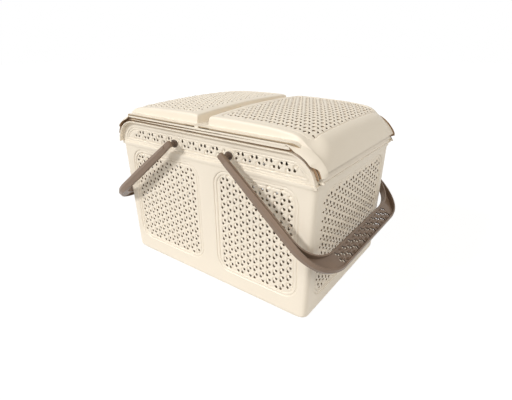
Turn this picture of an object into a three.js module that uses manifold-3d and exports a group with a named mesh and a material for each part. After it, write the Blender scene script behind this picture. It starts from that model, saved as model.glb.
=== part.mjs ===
// Two-lid picnic basket moulded in plastic with a woven look.
// Tub, snap-on rim frame with a cross bar, two flip lids and two swing handles.
// Millimetres, +Z up. The origin is the centre of the flat underside.
// +X points to the right-hand lid, -Y to the front.

import * as THREE from 'three';
import { mergeVertices } from 'three/addons/utils/BufferGeometryUtils.js';
import Module from 'manifold-3d';

const wasm = await Module();
wasm.setup();

// Tub shell
const beltHeight = 224;
const beltHalfLength = 210;
const beltHalfDepth = 138.6;
const baseHalfLength = 199.5;
const baseHalfDepth = 138.6;
const rimHeight = beltHeight + 7.7;
const wall = 2.4;
const floorThickness = 2.4;
const beltCornerRadius = 9;
const baseCornerRadius = 9;
const bottomEdgeRadius = 11;

// Shared clearances
const seatGap = 0.3;
const runningGap = 0.35;
const snapGap = 0.4;
const locatorGap = 0.5;

// Gables, the raised long sides, and the flange round the mouth
const archCentreX = beltHalfLength - 44.5;
const archCentreZ = beltHeight + 2.5;
const archRadius = 45.5;
const flangeReach = 7;
const flangeThickness = 2.2;
const sideRimReach = 2.8;
const beltBeadLow = beltHeight + 1.4;
const beltBeadHigh = beltBeadLow + 4;
const beltBeadProud = 1.2;

// Sunk panels of the tub walls
const panelStep = 0.5;
const panelBorder = 5.5;
const frontPanelInnerLeft = 10;
const frontPanelInnerRight = 21.8;
const frontPanelOuter = 184;
const frontPanelLow = 33.5;
const frontPanelHigh = beltHeight - 5.5;
const panelRadius = 27;
const sidePanelHalfWidth = 118;
const sidePanelLow = 30;
const sidePanelHigh = beltHeight - 8;
const gablePanelRadius = archRadius - 12;
const gablePanelBorder = 4.2;
const gablePanelLow = archCentreZ + 6;

// Handle pivots in the gables
const pivotX = 60;
const pivotZ = archCentreZ + 20.5;
const studRadius = 4.2;
const studHeadRadius = 5.8;
const studHeadLength = 2.4;
const pivotBossRadius = 8.5;
const pivotBossProud = 1.4;

// Rim frame that carries the lids
const frameTop = archCentreZ + archRadius + 11;
const frameHalfDepth = beltHalfDepth + 8.9;
const frameOpeningHalfDepth = beltHalfDepth - 5.2;
const crestStartX = archCentreX - 0.5;
const crestRun = 56;
const crestDrop = 33;
const crestEndX = archCentreX + crestRun;
const crestEndZ = frameTop - crestDrop;
const crestFootX = crestEndX - 1.5;
const crestFootZ = crestEndZ - 6;
const crestThickness = 2.6;
const crestRimHalfDepth = frameHalfDepth - 8;
const bandInnerRadius = archRadius + 4;
const bandOuterRadius = bandInnerRadius + 4.7;
const bandSetBack = 0.7;
const bandLow = archCentreZ + 12.5;
const seatSetBack = 4.3;
const seatInnerSide = beltHalfDepth + 2.4;
const endStripX = crestEndX - 3;
const endStripLow = rimHeight + 8.1;
const endStripHigh = endStripLow + 8;
const endStripHalfDepth = crestRimHalfDepth - 2.1;
const endWallThickness = 2.2;
const locatorDrop = 13.5;
const locatorThickness = 2;
const endLocatorLow = beltHeight - 4;
const endLocatorHalfDepth = frameOpeningHalfDepth - 13.4;

// Cross bar between the lids, with the hinge lug at its middle
const barHalfWidth = 4;
const barDepth = 12.7;
const lidLift = 2.7;
const barTop = frameTop + lidLift;
const barLow = barTop - barDepth;
const hingeX = 14.5;
const hingeZ = frameTop + 11;
const hingeBoreRadius = 2.9;
const hingeBarrelRadius = 4.6;
const lugHalfLength = 22.1;
const lugTop = hingeZ - 3;
const lugLow = frameTop - 1;
const hingePocketHalf = hingeX + 11.5;
const hingePocketFloor = frameTop - 3.8;

// Lids
const lidSkin = 2.4;
const lidHalfDepth = frameHalfDepth - 0.5;
const lidHingeSideHalfDepth = lidHalfDepth - 1.8;
const lidLipHalfDepth = crestRimHalfDepth - 6.5;
const lidEdgeSink = 4;
const lidEdgeSinkAtLip = 3;
const lidFrameGap = 1.1;
const lidDomeHalfDepth = lidHalfDepth - 14.3;
const lidShoulderHalfDepth = lidDomeHalfDepth - 4.2;
const lidInnerEdgeX = barHalfWidth + 0.6;
const lidInnerWallX = lidInnerEdgeX + 7;
const lidDomeHeight = 18.8;
const lidTop = frameTop + lidLift + lidDomeHeight;
const lidCrown = 4.3;
const lidLipEdgeX = crestEndX - 2.5;
const lidLipEdgeZ = crestEndZ - 1.6;
const notchHalfLength = lugHalfLength + 0.4;
const notchTop = lidTop - 4.5;
const notchDepth = 8;
const cheekThickness = 2.6;
const cheekDepth = 9;
const trunnionGrip = 5.6;

// Handles
const rightHandleRestAngle = 39.2;
const leftHandleRestAngle = 38;
const armOuterAtPivot = frameHalfDepth + 11.5;
const armOuterAtBend = armOuterAtPivot + 4.5;
const armThickness = 7;
const armEndRadius = 8;
const armHalfHeightAtPivot = 5.2;
const armHalfHeight = 7.2;
const gripHalfHeight = 6;
const gripStandOff = 9.6;
const gripWidth = 29;
const gripReach = beltHalfLength + gripStandOff - pivotX;
const gripInnerRadius = gripReach / Math.cos(THREE.MathUtils.degToRad(rightHandleRestAngle));
const gripOuterRadius = gripInnerRadius + gripWidth;
const armStraightTo = gripInnerRadius - 38;
const innerBendLead = 8;
const innerBendReachU = 25;
const innerBendReachV = 37;
const outerBendReachU = 37;
const outerBendReachV = 40;
const gripStraightHalf = 98;
const gripRim = 3;
const gripWeb = 2.6;
const latticeHalfLength = gripStraightHalf - 3;
const latticeHalfHeight = gripHalfHeight - 2;

const CURVE_STEPS = 12;
const cream = new THREE.Color(0.87, 0.82, 0.7);
const brown = new THREE.Color(0.42, 0.32, 0.25);

function toSolid(geometry) {
  const bare = geometry.index ? geometry.toNonIndexed() : geometry.clone();
  bare.deleteAttribute('normal');
  bare.deleteAttribute('uv');
  const merged = mergeVertices(bare, 1e-4);
  const mesh = new wasm.Mesh({
    numProp: 3,
    vertProperties: Float32Array.from(merged.attributes.position.array),
    triVerts: Uint32Array.from(merged.index.array),
  });
  return new wasm.Manifold(mesh);
}

function toGeometry(solid) {
  const mesh = solid.getMesh();
  const geometry = new THREE.BufferGeometry();
  geometry.setAttribute('position', new THREE.BufferAttribute(mesh.vertProperties, 3));
  geometry.setIndex(new THREE.BufferAttribute(mesh.triVerts, 1));
  geometry.computeVertexNormals();
  return geometry;
}

function joined(solids) {
  return solids.reduce((sum, solid) => sum.add(solid));
}

function without(solid, cutters) {
  return cutters.reduce((rest, cutter) => rest.subtract(cutter), solid);
}

function block(x0, x1, y0, y1, z0, z1) {
  const geometry = new THREE.BoxGeometry(x1 - x0, y1 - y0, z1 - z0);
  geometry.translate((x0 + x1) / 2, (y0 + y1) / 2, (z0 + z1) / 2);
  return toSolid(geometry);
}

// A rod along Y.
function rod(x, z, radius, y0, y1, sides = 24) {
  const geometry = new THREE.CylinderGeometry(radius, radius, y1 - y0, sides);
  geometry.translate(x, (y0 + y1) / 2, z);
  return toSolid(geometry);
}

// An outline drawn in X and Z, extruded along Y.
function sliceXZ(points, y0, y1) {
  const shape = new THREE.Shape(points);
  const geometry = new THREE.ExtrudeGeometry(shape, { depth: y1 - y0, bevelEnabled: false });
  geometry.rotateX(Math.PI / 2);
  geometry.translate(0, y1, 0);
  return toSolid(geometry);
}

// The same piece at the front and, mirrored in Y, at the back.
function frontAndBack(make) {
  return make(-1).add(make(1));
}

function leftAndRight(make) {
  return make(-1).add(make(1));
}

function span(side, near, far) {
  return side < 0 ? [-far, -near] : [near, far];
}

function mirrorX(points) {
  return points.map((p) => new THREE.Vector2(-p.x, p.y)).reverse();
}

// The gable line: two quarter arcs and the straight between them, right to left.
function archLine(radius, low) {
  const start = Math.asin((low - archCentreZ) / radius);
  const right = [];
  for (let i = 0; i <= CURVE_STEPS; i += 1) {
    const angle = start + (Math.PI / 2 - start) * (i / CURVE_STEPS);
    const x = archCentreX + radius * Math.cos(angle);
    const z = archCentreZ + radius * Math.sin(angle);
    right.push(new THREE.Vector2(x, z));
  }
  return right.concat(mirrorX(right));
}

function archBand(innerRadius, outerRadius, low) {
  return archLine(outerRadius, low).concat(archLine(innerRadius, low).reverse());
}

// The crest: the top line of the rim frame, which bulges past the gable arc.
const crest = new THREE.CubicBezierCurve(
  new THREE.Vector2(crestStartX, frameTop),
  new THREE.Vector2(crestStartX + 29, frameTop),
  new THREE.Vector2(crestEndX - 8.5, crestEndZ + 16),
  new THREE.Vector2(crestEndX, crestEndZ),
);

function smoothStep(low, high, value) {
  const t = THREE.MathUtils.clamp((value - low) / (high - low), 0, 1);
  return t * t * (3 - 2 * t);
}

// A point of the crest moved inwards along its own normal.
function crestPoint(t, inset) {
  const point = crest.getPoint(t);
  const tangent = crest.getTangent(t);
  return new THREE.Vector2(point.x + tangent.y * inset, point.y - tangent.x * inset);
}

// How far the lid's edge lies inside the crest: above it on the straight, sunk at the corner.
function lidSink(t) {
  const { x } = crest.getPoint(t);
  const sunk = THREE.MathUtils.lerp(-lidLift, lidEdgeSink, smoothStep(crestStartX + 7, crestEndX - 29.5, x));
  return sunk - (lidEdgeSink - lidEdgeSinkAtLip) * smoothStep(crestEndX - 26.5, crestEndX, x);
}

// Half depth of the lid's edge, which draws in by an S curve towards the lip.
function lidEdgeHalf(x) {
  const reach = smoothStep(hingeX + 7.5, hingeX + 15.5, x);
  const wide = THREE.MathUtils.lerp(lidHingeSideHalfDepth, lidHalfDepth, reach);
  return wide - (lidHalfDepth - lidLipHalfDepth) * smoothStep(crestStartX - 1, crestEndX - 22.5, x);
}

function lidEdgeHeight(x) {
  if (x <= crestStartX) return frameTop + lidLift;
  let low = 0;
  let high = 1;
  for (let i = 0; i < 30; i += 1) {
    const middle = (low + high) / 2;
    if (crestPoint(middle, lidSink(middle)).x < x) low = middle;
    else high = middle;
  }
  return crestPoint(low, lidSink(low)).y;
}

// A closed body between two grids of points, columns along X and rows along Y.
function between(top, bottom) {
  const positions = [];
  const quad = (a, b, c, d) => [a, b, c, a, c, d].forEach((p) => positions.push(p.x, p.y, p.z));
  const last = top.length - 1;
  const rows = top[0].length;
  for (let i = 0; i < last; i += 1) {
    for (let j = 0; j + 1 < rows; j += 1) {
      quad(top[i][j], top[i + 1][j], top[i + 1][j + 1], top[i][j + 1]);
      quad(bottom[i][j + 1], bottom[i + 1][j + 1], bottom[i + 1][j], bottom[i][j]);
    }
    quad(bottom[i][0], bottom[i + 1][0], top[i + 1][0], top[i][0]);
    quad(top[i][rows - 1], top[i + 1][rows - 1], bottom[i + 1][rows - 1], bottom[i][rows - 1]);
  }
  for (let j = 0; j + 1 < rows; j += 1) {
    quad(top[0][j], top[0][j + 1], bottom[0][j + 1], bottom[0][j]);
    quad(bottom[last][j], bottom[last][j + 1], top[last][j + 1], top[last][j]);
  }
  const geometry = new THREE.BufferGeometry();
  geometry.setAttribute('position', new THREE.Float32BufferAttribute(positions, 3));
  return toSolid(geometry);
}

// The same grid moved inwards along its own normals.
function inward(columns, depth) {
  const rows = columns[0].length;
  return columns.map((column, i) => column.map((point, j) => {
    const next = columns[Math.min(i + 1, columns.length - 1)][j];
    const previous = columns[Math.max(i - 1, 0)][j];
    const along = next.clone().sub(previous);
    const across = column[Math.min(j + 1, rows - 1)].clone().sub(column[Math.max(j - 1, 0)]);
    return point.clone().addScaledVector(along.cross(across).normalize(), -depth);
  }));
}

// Tub

function tubHalfLength(z) {
  return baseHalfLength + (beltHalfLength - baseHalfLength) * (z / beltHeight);
}

function tubHalfDepth(z) {
  return baseHalfDepth + (beltHalfDepth - baseHalfDepth) * (z / beltHeight);
}

function roundedRing(halfLength, halfDepth, radius, z) {
  const ring = [];
  const corners = [[1, 1], [-1, 1], [-1, -1], [1, -1]];
  corners.forEach(([sx, sy], quadrant) => {
    for (let i = 0; i <= 6; i += 1) {
      const angle = (quadrant + i / 6) * (Math.PI / 2);
      const x = sx * (halfLength - radius) + radius * Math.cos(angle);
      const y = sy * (halfDepth - radius) + radius * Math.sin(angle);
      ring.push(new THREE.Vector3(x, y, z));
    }
  });
  return ring;
}

// Rings of equal length stacked into a closed solid, capped flat at both ends.
function loft(rings) {
  const positions = [];
  const triangle = (a, b, c) => positions.push(...a.toArray(), ...b.toArray(), ...c.toArray());
  const count = rings[0].length;
  for (let k = 0; k + 1 < rings.length; k += 1) {
    for (let i = 0; i < count; i += 1) {
      const j = (i + 1) % count;
      triangle(rings[k][i], rings[k][j], rings[k + 1][j]);
      triangle(rings[k][i], rings[k + 1][j], rings[k + 1][i]);
    }
  }
  const first = rings[0];
  const last = rings[rings.length - 1];
  for (let i = 1; i + 1 < count; i += 1) {
    triangle(first[0], first[i + 1], first[i]);
    triangle(last[0], last[i], last[i + 1]);
  }
  const geometry = new THREE.BufferGeometry();
  geometry.setAttribute('position', new THREE.Float32BufferAttribute(positions, 3));
  return toSolid(geometry);
}

function tubBody(inset, low, high) {
  const rings = [];
  const edge = bottomEdgeRadius - inset;
  for (let k = 0; k <= 4; k += 1) {
    const angle = (k / 4) * (Math.PI / 2);
    const z = low + edge * (1 - Math.cos(angle));
    const drawIn = inset + edge * (1 - Math.sin(angle));
    const radius = Math.max(baseCornerRadius - drawIn, 2);
    rings.push(roundedRing(tubHalfLength(z) - drawIn, tubHalfDepth(z) - drawIn, radius, z));
  }
  const radius = beltCornerRadius - inset;
  rings.push(roundedRing(tubHalfLength(high) - inset, tubHalfDepth(high) - inset, radius, high));
  return loft(rings);
}

function roundedRectangle(u0, u1, v0, v1, radius) {
  const shape = new THREE.Shape();
  shape.moveTo(u0 + radius, v0);
  shape.lineTo(u1 - radius, v0);
  shape.absarc(u1 - radius, v0 + radius, radius, -Math.PI / 2, 0);
  shape.lineTo(u1, v1 - radius);
  shape.absarc(u1 - radius, v1 - radius, radius, 0, Math.PI / 2);
  shape.lineTo(u0 + radius, v1);
  shape.absarc(u0 + radius, v1 - radius, radius, Math.PI / 2, Math.PI);
  shape.lineTo(u0, v0 + radius);
  shape.absarc(u0 + radius, v0 + radius, radius, Math.PI, Math.PI * 1.5);
  return shape;
}

// A cutter that sinks an outline into a leaning tub wall. The outline is drawn along the
// wall and up it; the wall stands at halfAtBase at the floor and leans out to halfAtBelt.
function wallCutter(shape, depth, turn, halfAtBase, halfAtBelt) {
  const options = { depth: depth + 4, bevelEnabled: false, curveSegments: 5 };
  const geometry = new THREE.ExtrudeGeometry(shape, options);
  geometry.translate(0, 0, -depth);
  geometry.rotateX(Math.PI / 2);
  geometry.rotateX(Math.atan((halfAtBelt - halfAtBase) / beltHeight));
  geometry.translate(0, -halfAtBase, 0);
  geometry.rotateZ(turn);
  return toSolid(geometry);
}

function panelCutters() {
  const cutters = [];
  const sink = (u0, u1, v0, v1, turn, halfAtBase, halfAtBelt) => {
    const b = panelBorder;
    const outer = roundedRectangle(u0, u1, v0, v1, panelRadius);
    const inner = roundedRectangle(u0 + b, u1 - b, v0 + b, v1 - b, panelRadius - b);
    cutters.push(wallCutter(outer, panelStep, turn, halfAtBase, halfAtBelt));
    cutters.push(wallCutter(inner, 2 * panelStep, turn, halfAtBase, halfAtBelt));
  };
  const frontPair = [[-frontPanelOuter, -frontPanelInnerLeft], [frontPanelInnerRight, frontPanelOuter]];
  [0, Math.PI].forEach((turn) => frontPair.forEach(([u0, u1]) => {
    sink(u0, u1, frontPanelLow, frontPanelHigh, turn, baseHalfDepth, beltHalfDepth);
  }));
  [Math.PI / 2, -Math.PI / 2].forEach((turn) => {
    const half = sidePanelHalfWidth;
    sink(-half, half, sidePanelLow, sidePanelHigh, turn, baseHalfLength, beltHalfLength);
  });
  [-1, 1].forEach((side) => {
    [[gablePanelRadius, panelStep], [gablePanelRadius - gablePanelBorder, 2 * panelStep]].forEach(
      ([radius, depth]) => {
        const [y0, y1] = span(side, beltHalfDepth - depth, beltHalfDepth + 4);
        cutters.push(sliceXZ(archLine(radius, gablePanelLow), y0, y1));
      },
    );
  });
  return cutters;
}

function makeTub() {
  const shell = tubBody(0, 0, rimHeight).subtract(tubBody(wall, floorThickness, rimHeight + 1));
  const gableInside = beltHalfDepth - wall;
  const gable = (side) => {
    const [y0, y1] = span(side, gableInside, beltHalfDepth);
    return sliceXZ(archLine(archRadius - 1, beltHeight), y0, y1);
  };
  const flange = (side) => {
    const [y0, y1] = span(side, gableInside, beltHalfDepth + flangeReach);
    const low = rimHeight - flangeThickness;
    return sliceXZ(archBand(archRadius - flangeThickness, archRadius, low), y0, y1);
  };
  const reach = beltHalfDepth + flangeReach;
  const sideRim = (side) => {
    const inside = tubHalfLength(rimHeight) - 1;
    const outside = tubHalfLength(rimHeight) + sideRimReach;
    const [x0, x1] = span(side, inside, outside);
    return block(x0, x1, -reach, reach, rimHeight - flangeThickness, rimHeight);
  };
  const bead = (side) => {
    const half = beltHalfLength - beltCornerRadius / 2;
    const [y0, y1] = span(side, beltHalfDepth - 1, beltHalfDepth + beltBeadProud);
    return block(-half, half, y0, y1, beltBeadLow, beltBeadHigh);
  };
  const pivots = [-pivotX, pivotX];
  const bosses = pivots.map((x) => frontAndBack((side) => {
    const [y0, y1] = span(side, gableInside + 0.2, beltHalfDepth + pivotBossProud);
    return rod(x, pivotZ, pivotBossRadius, y0, y1);
  }));
  const bores = pivots.map((x) => frontAndBack((side) => {
    const [y0, y1] = span(side, gableInside - 2, beltHalfDepth + pivotBossProud + 2);
    return rod(x, pivotZ, studRadius + runningGap, y0, y1);
  }));
  const sunk = without(shell.add(frontAndBack(gable)), panelCutters());
  const parts = [sunk, frontAndBack(flange), leftAndRight(sideRim), frontAndBack(bead), ...bosses];
  return without(joined(parts), bores);
}

// Rim frame

// The deepest the frame's top lies inside the crest, under the lid's edge and lip.
function frameSink(t) {
  const { x } = crest.getPoint(t);
  const gap = THREE.MathUtils.lerp(seatGap, lidFrameGap, smoothStep(crestStartX, crestStartX + 6, x));
  return Math.max(0, lidSink(t) + lidSkin + gap);
}

// The frame's top: the crest along both long edges, sunk between them to take the lids.
function frameTopGrid(below) {
  const outer = [0, 3, 6].map((step) => frameHalfDepth - step);
  const inner = [0, 2.2, 4.1, 5.6].map((step) => crestRimHalfDepth - step);
  const depths = [...outer, ...inner];
  const rows = [...depths.map((depth) => -depth), 0, ...depths.slice().reverse()];
  const column = (t) => rows.map((y) => {
    const sink = frameSink(t);
    const sunk = crestPoint(t, sink);
    const drawn = smoothStep(crestEndX - 18.5, crestEndX - 6.5, sunk.x);
    const outside = THREE.MathUtils.lerp(frameHalfDepth, crestRimHalfDepth, drawn);
    const inside = Math.min(lidEdgeHalf(sunk.x) + lidFrameGap, outside - 0.5);
    const share = 1 - smoothStep(inside, outside, Math.abs(y));
    const point = crestPoint(t, sink * share + below);
    return new THREE.Vector3(point.x, y, point.y);
  });
  const right = [];
  for (let i = 0; i <= CURVE_STEPS; i += 1) right.push(column(i / CURVE_STEPS));
  const left = right.map((points) => points.map((p) => new THREE.Vector3(-p.x, p.y, p.z))).reverse();
  return left.concat(right);
}

function polygonXZ(side, pairs) {
  const points = pairs.map(([x, z]) => new THREE.Vector2(x, z));
  return side > 0 ? points : mirrorX(points);
}

// The walls of a short side: locator inside the tub, wall over its rim and outer skirt.
function endWalls(side) {
  const locatorX = tubHalfLength(endLocatorLow) - wall - locatorGap;
  const seatX = tubHalfLength(rimHeight) + sideRimReach - 0.8;
  const skirtX = endStripX - endWallThickness;
  const underTop = (x) => lidEdgeHeight(x) - 4.6;
  const locator = polygonXZ(side, [
    [locatorX - locatorThickness, endLocatorLow],
    [locatorX, endLocatorLow],
    [locatorX, underTop(locatorX)],
    [locatorX - locatorThickness, underTop(locatorX - locatorThickness)],
  ]);
  const seat = polygonXZ(side, [
    [seatX - endWallThickness, rimHeight + seatGap],
    [seatX, rimHeight + seatGap],
    [seatX, underTop(seatX)],
    [seatX - endWallThickness, underTop(seatX - endWallThickness)],
  ]);
  const skirt = polygonXZ(side, [
    [skirtX, endStripLow],
    [endStripX, endStripLow],
    [endStripX, endStripHigh],
    [skirtX - 0.6, endStripHigh],
    [skirtX - 2.4, endStripHigh - 1.4],
    [skirtX, endStripHigh - 2.2],
  ]);
  return joined([
    sliceXZ(locator, -endLocatorHalfDepth, endLocatorHalfDepth),
    sliceXZ(seat, -frameOpeningHalfDepth, frameOpeningHalfDepth),
    sliceXZ(skirt, -endStripHalfDepth, endStripHalfDepth),
  ]);
}

function makeFrame() {
  const grid = frameTopGrid(0);
  const above = grid.map((column) => column.map((p) => new THREE.Vector3(p.x, p.y, frameTop + 20)));
  const roof = between(grid, frameTopGrid(crestThickness));
  const mouthX = tubHalfLength(endLocatorLow) - wall - locatorGap - locatorThickness;
  const mouthY = frameOpeningHalfDepth;
  const mouth = block(-mouthX, mouthX, -mouthY, mouthY, rimHeight, frameTop + 1);
  const foot = (side) => {
    const outline = polygonXZ(side, [
      [crestEndX - crestThickness - 0.6, crestEndZ + 0.6],
      [crestFootX - crestThickness, crestFootZ],
      [crestFootX, crestFootZ],
      [crestEndX, crestEndZ],
    ]);
    return frontAndBack((ySide) => sliceXZ(outline, ...span(ySide, endStripHalfDepth - 1, frameHalfDepth)));
  };
  const band = (side) => {
    const [y0, y1] = span(side, seatInnerSide, frameHalfDepth - bandSetBack);
    return sliceXZ(archBand(bandInnerRadius, bandOuterRadius, bandLow), y0, y1);
  };
  const seat = (side) => {
    const [y0, y1] = span(side, seatInnerSide, frameHalfDepth - seatSetBack);
    return sliceXZ(archBand(archRadius + seatGap, bandInnerRadius + 0.5, bandLow), y0, y1);
  };
  const locator = (side) => {
    const inside = beltHalfDepth - wall - snapGap;
    const [y0, y1] = span(side, inside - locatorThickness, inside);
    return sliceXZ(archBand(archRadius - locatorDrop, bandOuterRadius, rimHeight + 2), y0, y1);
  };
  const walls = joined([
    leftAndRight(foot),
    frontAndBack(band),
    frontAndBack(seat),
    frontAndBack(locator),
    leftAndRight(endWalls),
  ]);
  const ring = walls.subtract(between(above, grid)).add(roof.subtract(mouth));

  const pocketFloor = frontAndBack((side) => {
    const [y0, y1] = span(side, frameOpeningHalfDepth, frameHalfDepth - bandSetBack);
    const half = hingePocketHalf + 2;
    return block(-half, half, y0, y1, hingePocketFloor - lidSkin, hingePocketFloor);
  });
  const pocket = frontAndBack((side) => {
    const [y0, y1] = span(side, frameOpeningHalfDepth - 3, lidHingeSideHalfDepth + runningGap);
    return block(-hingePocketHalf, hingePocketHalf, y0, y1, hingePocketFloor, frameTop + 1);
  });
  const barEnd = lidHingeSideHalfDepth + runningGap + 1;
  const bar = block(-barHalfWidth, barHalfWidth, -barEnd, barEnd, barLow, barTop);
  const lug = block(-hingeX, hingeX, -lugHalfLength, lugHalfLength, lugLow, lugTop);
  const hingeRod = (radius, reach) => leftAndRight((side) => {
    const half = lugHalfLength + reach;
    return rod(side * hingeX, hingeZ, radius, -half, half);
  });
  const carrier = joined([ring.add(pocketFloor).subtract(pocket), bar, lug, hingeRod(hingeBarrelRadius, 0)]);
  return carrier.subtract(hingeRod(hingeBoreRadius, 1));
}

// Lids

// One station per column: x, height of the dome's ridge, half depth and height of the edge.
// The ridge is given by its distance from the lip and its drop below the top.
function lidStations() {
  const flat = frameTop + lidLift;
  const ridge = [
    [lidInnerEdgeX, flat],
    [lidInnerWallX, flat],
    [lidInnerWallX + 0.5, lidTop - 3],
    [lidInnerWallX + 3, lidTop],
  ];
  const slope = [
    [189, 0], [159, 0], [124, 0.7], [94, 1.8], [69, 4], [55, 6], [49, 7.2], [44.5, 8.2], [40, 9.3],
    [35, 10.7], [30, 12.6], [25, 15.2], [19, 19.4], [13, 26], [8, 34.5], [4, 43.5], [1.2, 51],
  ];
  slope.forEach(([fromLip, drop]) => ridge.push([lidLipEdgeX - fromLip, lidTop - drop]));
  const stations = ridge.map(([x, z]) => ({ x, ridge: z, edge: lidEdgeHeight(x), half: lidEdgeHalf(x) }));
  const lip = { x: lidLipEdgeX, ridge: lidLipEdgeZ, edge: lidLipEdgeZ, half: lidLipHalfDepth };
  return [...stations, lip];
}

// Points across one station, from the front edge to the back edge.
function lidSection(station) {
  const { x, ridge, edge, half } = station;
  const rise = ridge - edge;
  const steep = smoothStep(2, 10, rise);
  const crownDrop = Math.min(lidCrown, rise * 0.3);
  const shoulder = ridge - crownDrop;
  const base = Math.min(lidDomeHalfDepth, half - 0.4);
  const ledge = THREE.MathUtils.lerp(base, half, 0.5);
  const front = [
    [half, edge],
    [ledge, edge],
    [base, edge + 0.2 * steep],
    [base - 1.2, THREE.MathUtils.lerp(edge, shoulder, 0.45)],
    [lidShoulderHalfDepth + 1.4, THREE.MathUtils.lerp(edge, shoulder, 0.85)],
    [lidShoulderHalfDepth - 1.5, shoulder],
    [lidShoulderHalfDepth * 0.87, ridge - crownDrop * 0.78],
    [lidShoulderHalfDepth * 0.7, ridge - crownDrop * 0.5],
    [lidShoulderHalfDepth * 0.39, ridge - crownDrop * 0.15],
  ];
  const points = front.map(([y, z]) => new THREE.Vector3(x, -y, z));
  points.push(new THREE.Vector3(x, 0, ridge));
  return points.concat(front.reverse().map(([y, z]) => new THREE.Vector3(x, y, z)));
}

function makeRightLid() {
  const outside = lidStations().map(lidSection);
  const skin = between(outside, inward(outside, lidSkin));
  const lipX = lidLipEdgeX;
  const below = block(lipX - 20, lipX + 5, -lidHalfDepth, lidHalfDepth, lidLipEdgeZ - 15, lidLipEdgeZ);
  const notch = block(0, hingeX + notchDepth, -notchHalfLength, notchHalfLength, barLow, notchTop);
  const cheek = (side) => {
    const [y0, y1] = span(side, notchHalfLength, notchHalfLength + cheekThickness);
    return block(lidInnerWallX + 1, hingeX + cheekDepth / 2, y0, y1, hingeZ - cheekDepth / 2, lidTop - 2);
  };
  const trunnion = (side) => {
    const [y0, y1] = span(side, lugHalfLength - trunnionGrip, notchHalfLength + cheekThickness - 0.2);
    return rod(hingeX, hingeZ, hingeBoreRadius - runningGap, y0, y1);
  };
  return joined([without(skin, [notch, below]), frontAndBack(cheek), frontAndBack(trunnion)]);
}

// Handles, drawn flat: u runs out from the pivot, v along the pivot axis, h through the U.

function bend(startU, startV, endU, endV, reachU, reachV) {
  return new THREE.CubicBezierCurve(
    new THREE.Vector2(startU, startV),
    new THREE.Vector2(startU + reachU, startV),
    new THREE.Vector2(endU, endV + reachV),
    new THREE.Vector2(endU, endV),
  ).getPoints(CURVE_STEPS);
}

function outerBend(inset) {
  const [startV, endU] = [armOuterAtBend - inset, gripOuterRadius - inset];
  return bend(armStraightTo, startV, endU, gripStraightHalf, outerBendReachU, outerBendReachV);
}

function innerBend(outset) {
  const [startU, startV] = [armStraightTo - innerBendLead, armOuterAtBend - armThickness + outset];
  const endU = gripInnerRadius + outset;
  return bend(startU, startV, endU, gripStraightHalf, innerBendReachU, innerBendReachV);
}

function bothHalves(half) {
  return half.concat(half.map((p) => new THREE.Vector2(p.x, -p.y)).reverse());
}

function plate(points, h0, h1) {
  const options = { depth: h1 - h0, bevelEnabled: false };
  const geometry = new THREE.ExtrudeGeometry(new THREE.Shape(points), options);
  geometry.translate(0, 0, h0);
  return toSolid(geometry);
}

function handleFlat() {
  const outerEnd = new THREE.Vector2(-armEndRadius, armOuterAtPivot);
  const innerEnd = new THREE.Vector2(-armEndRadius, armOuterAtPivot - armThickness);
  const outer = bothHalves([outerEnd, ...outerBend(0)]);
  const inner = bothHalves([innerEnd, ...innerBend(0)]);
  const loop = outer.concat(inner.reverse());
  const tall = armHalfHeight + 1;
  const side = [
    [-armEndRadius, -armHalfHeightAtPivot],
    [110, -armHalfHeight],
    [armStraightTo, -armHalfHeight],
    [gripInnerRadius - 6, -gripHalfHeight],
    [gripOuterRadius + 1, -gripHalfHeight],
  ].map(([u, h]) => new THREE.Vector2(u, h));
  const profile = side.concat(side.map((p) => new THREE.Vector2(p.x, -p.y)).reverse());
  const sideGeometry = new THREE.ExtrudeGeometry(new THREE.Shape(profile), {
    depth: 2 * armOuterAtBend + 4,
    bevelEnabled: false,
  });
  sideGeometry.rotateX(Math.PI / 2);
  sideGeometry.translate(0, armOuterAtBend + 2, 0);
  const pocketLine = bothHalves(outerBend(gripRim)).concat(bothHalves(innerBend(gripRim)).reverse());
  const pockets = [plate(pocketLine, gripWeb / 2, tall + 1), plate(pocketLine, -tall - 1, -gripWeb / 2)];
  const frame = without(plate(loop, -tall, tall).intersect(toSolid(sideGeometry)), pockets);
  const [u0, u1] = [gripInnerRadius + gripRim / 2, gripOuterRadius - gripRim / 2];
  const [v0, v1] = [-latticeHalfLength, latticeHalfLength];
  return frame.add(block(u0, u1, v0, v1, -latticeHalfHeight, latticeHalfHeight));
}

function handleStuds() {
  const headFace = beltHalfDepth - wall - runningGap;
  return frontAndBack((side) => {
    const shaft = span(side, headFace - studHeadLength, armOuterAtPivot - 1);
    const head = span(side, headFace - studHeadLength, headFace);
    return rod(0, 0, studRadius, shaft[0], shaft[1]).add(rod(0, 0, studHeadRadius, head[0], head[1]));
  });
}

function placed(name, solid, colour, group, side = 1) {
  const material = new THREE.MeshStandardMaterial({ color: colour, roughness: 0.45, metalness: 0 });
  const mesh = new THREE.Mesh(toGeometry(solid), material);
  mesh.name = name;
  if (side < 0) mesh.rotation.z = Math.PI;
  group.add(mesh);
  return mesh;
}

const basket = new THREE.Group();
placed('tub', makeTub(), cream, basket);
placed('rim_frame', makeFrame(), cream, basket);
placed('lid_right', makeRightLid(), cream, basket);
placed('lid_left', makeRightLid(), cream, basket, -1);

const handle = handleFlat().add(handleStuds());
[['handle_right', 1, rightHandleRestAngle], ['handle_left', -1, leftHandleRestAngle]].forEach(
  ([name, side, restAngle]) => {
    const hinge = new THREE.Group();
    hinge.position.set(side * pivotX, 0, pivotZ);
    if (side < 0) hinge.rotation.z = Math.PI;
    basket.add(hinge);
    const mesh = placed(name, handle, brown, hinge);
    mesh.rotation.y = THREE.MathUtils.degToRad(restAngle);
  },
);

export default basket;
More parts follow.
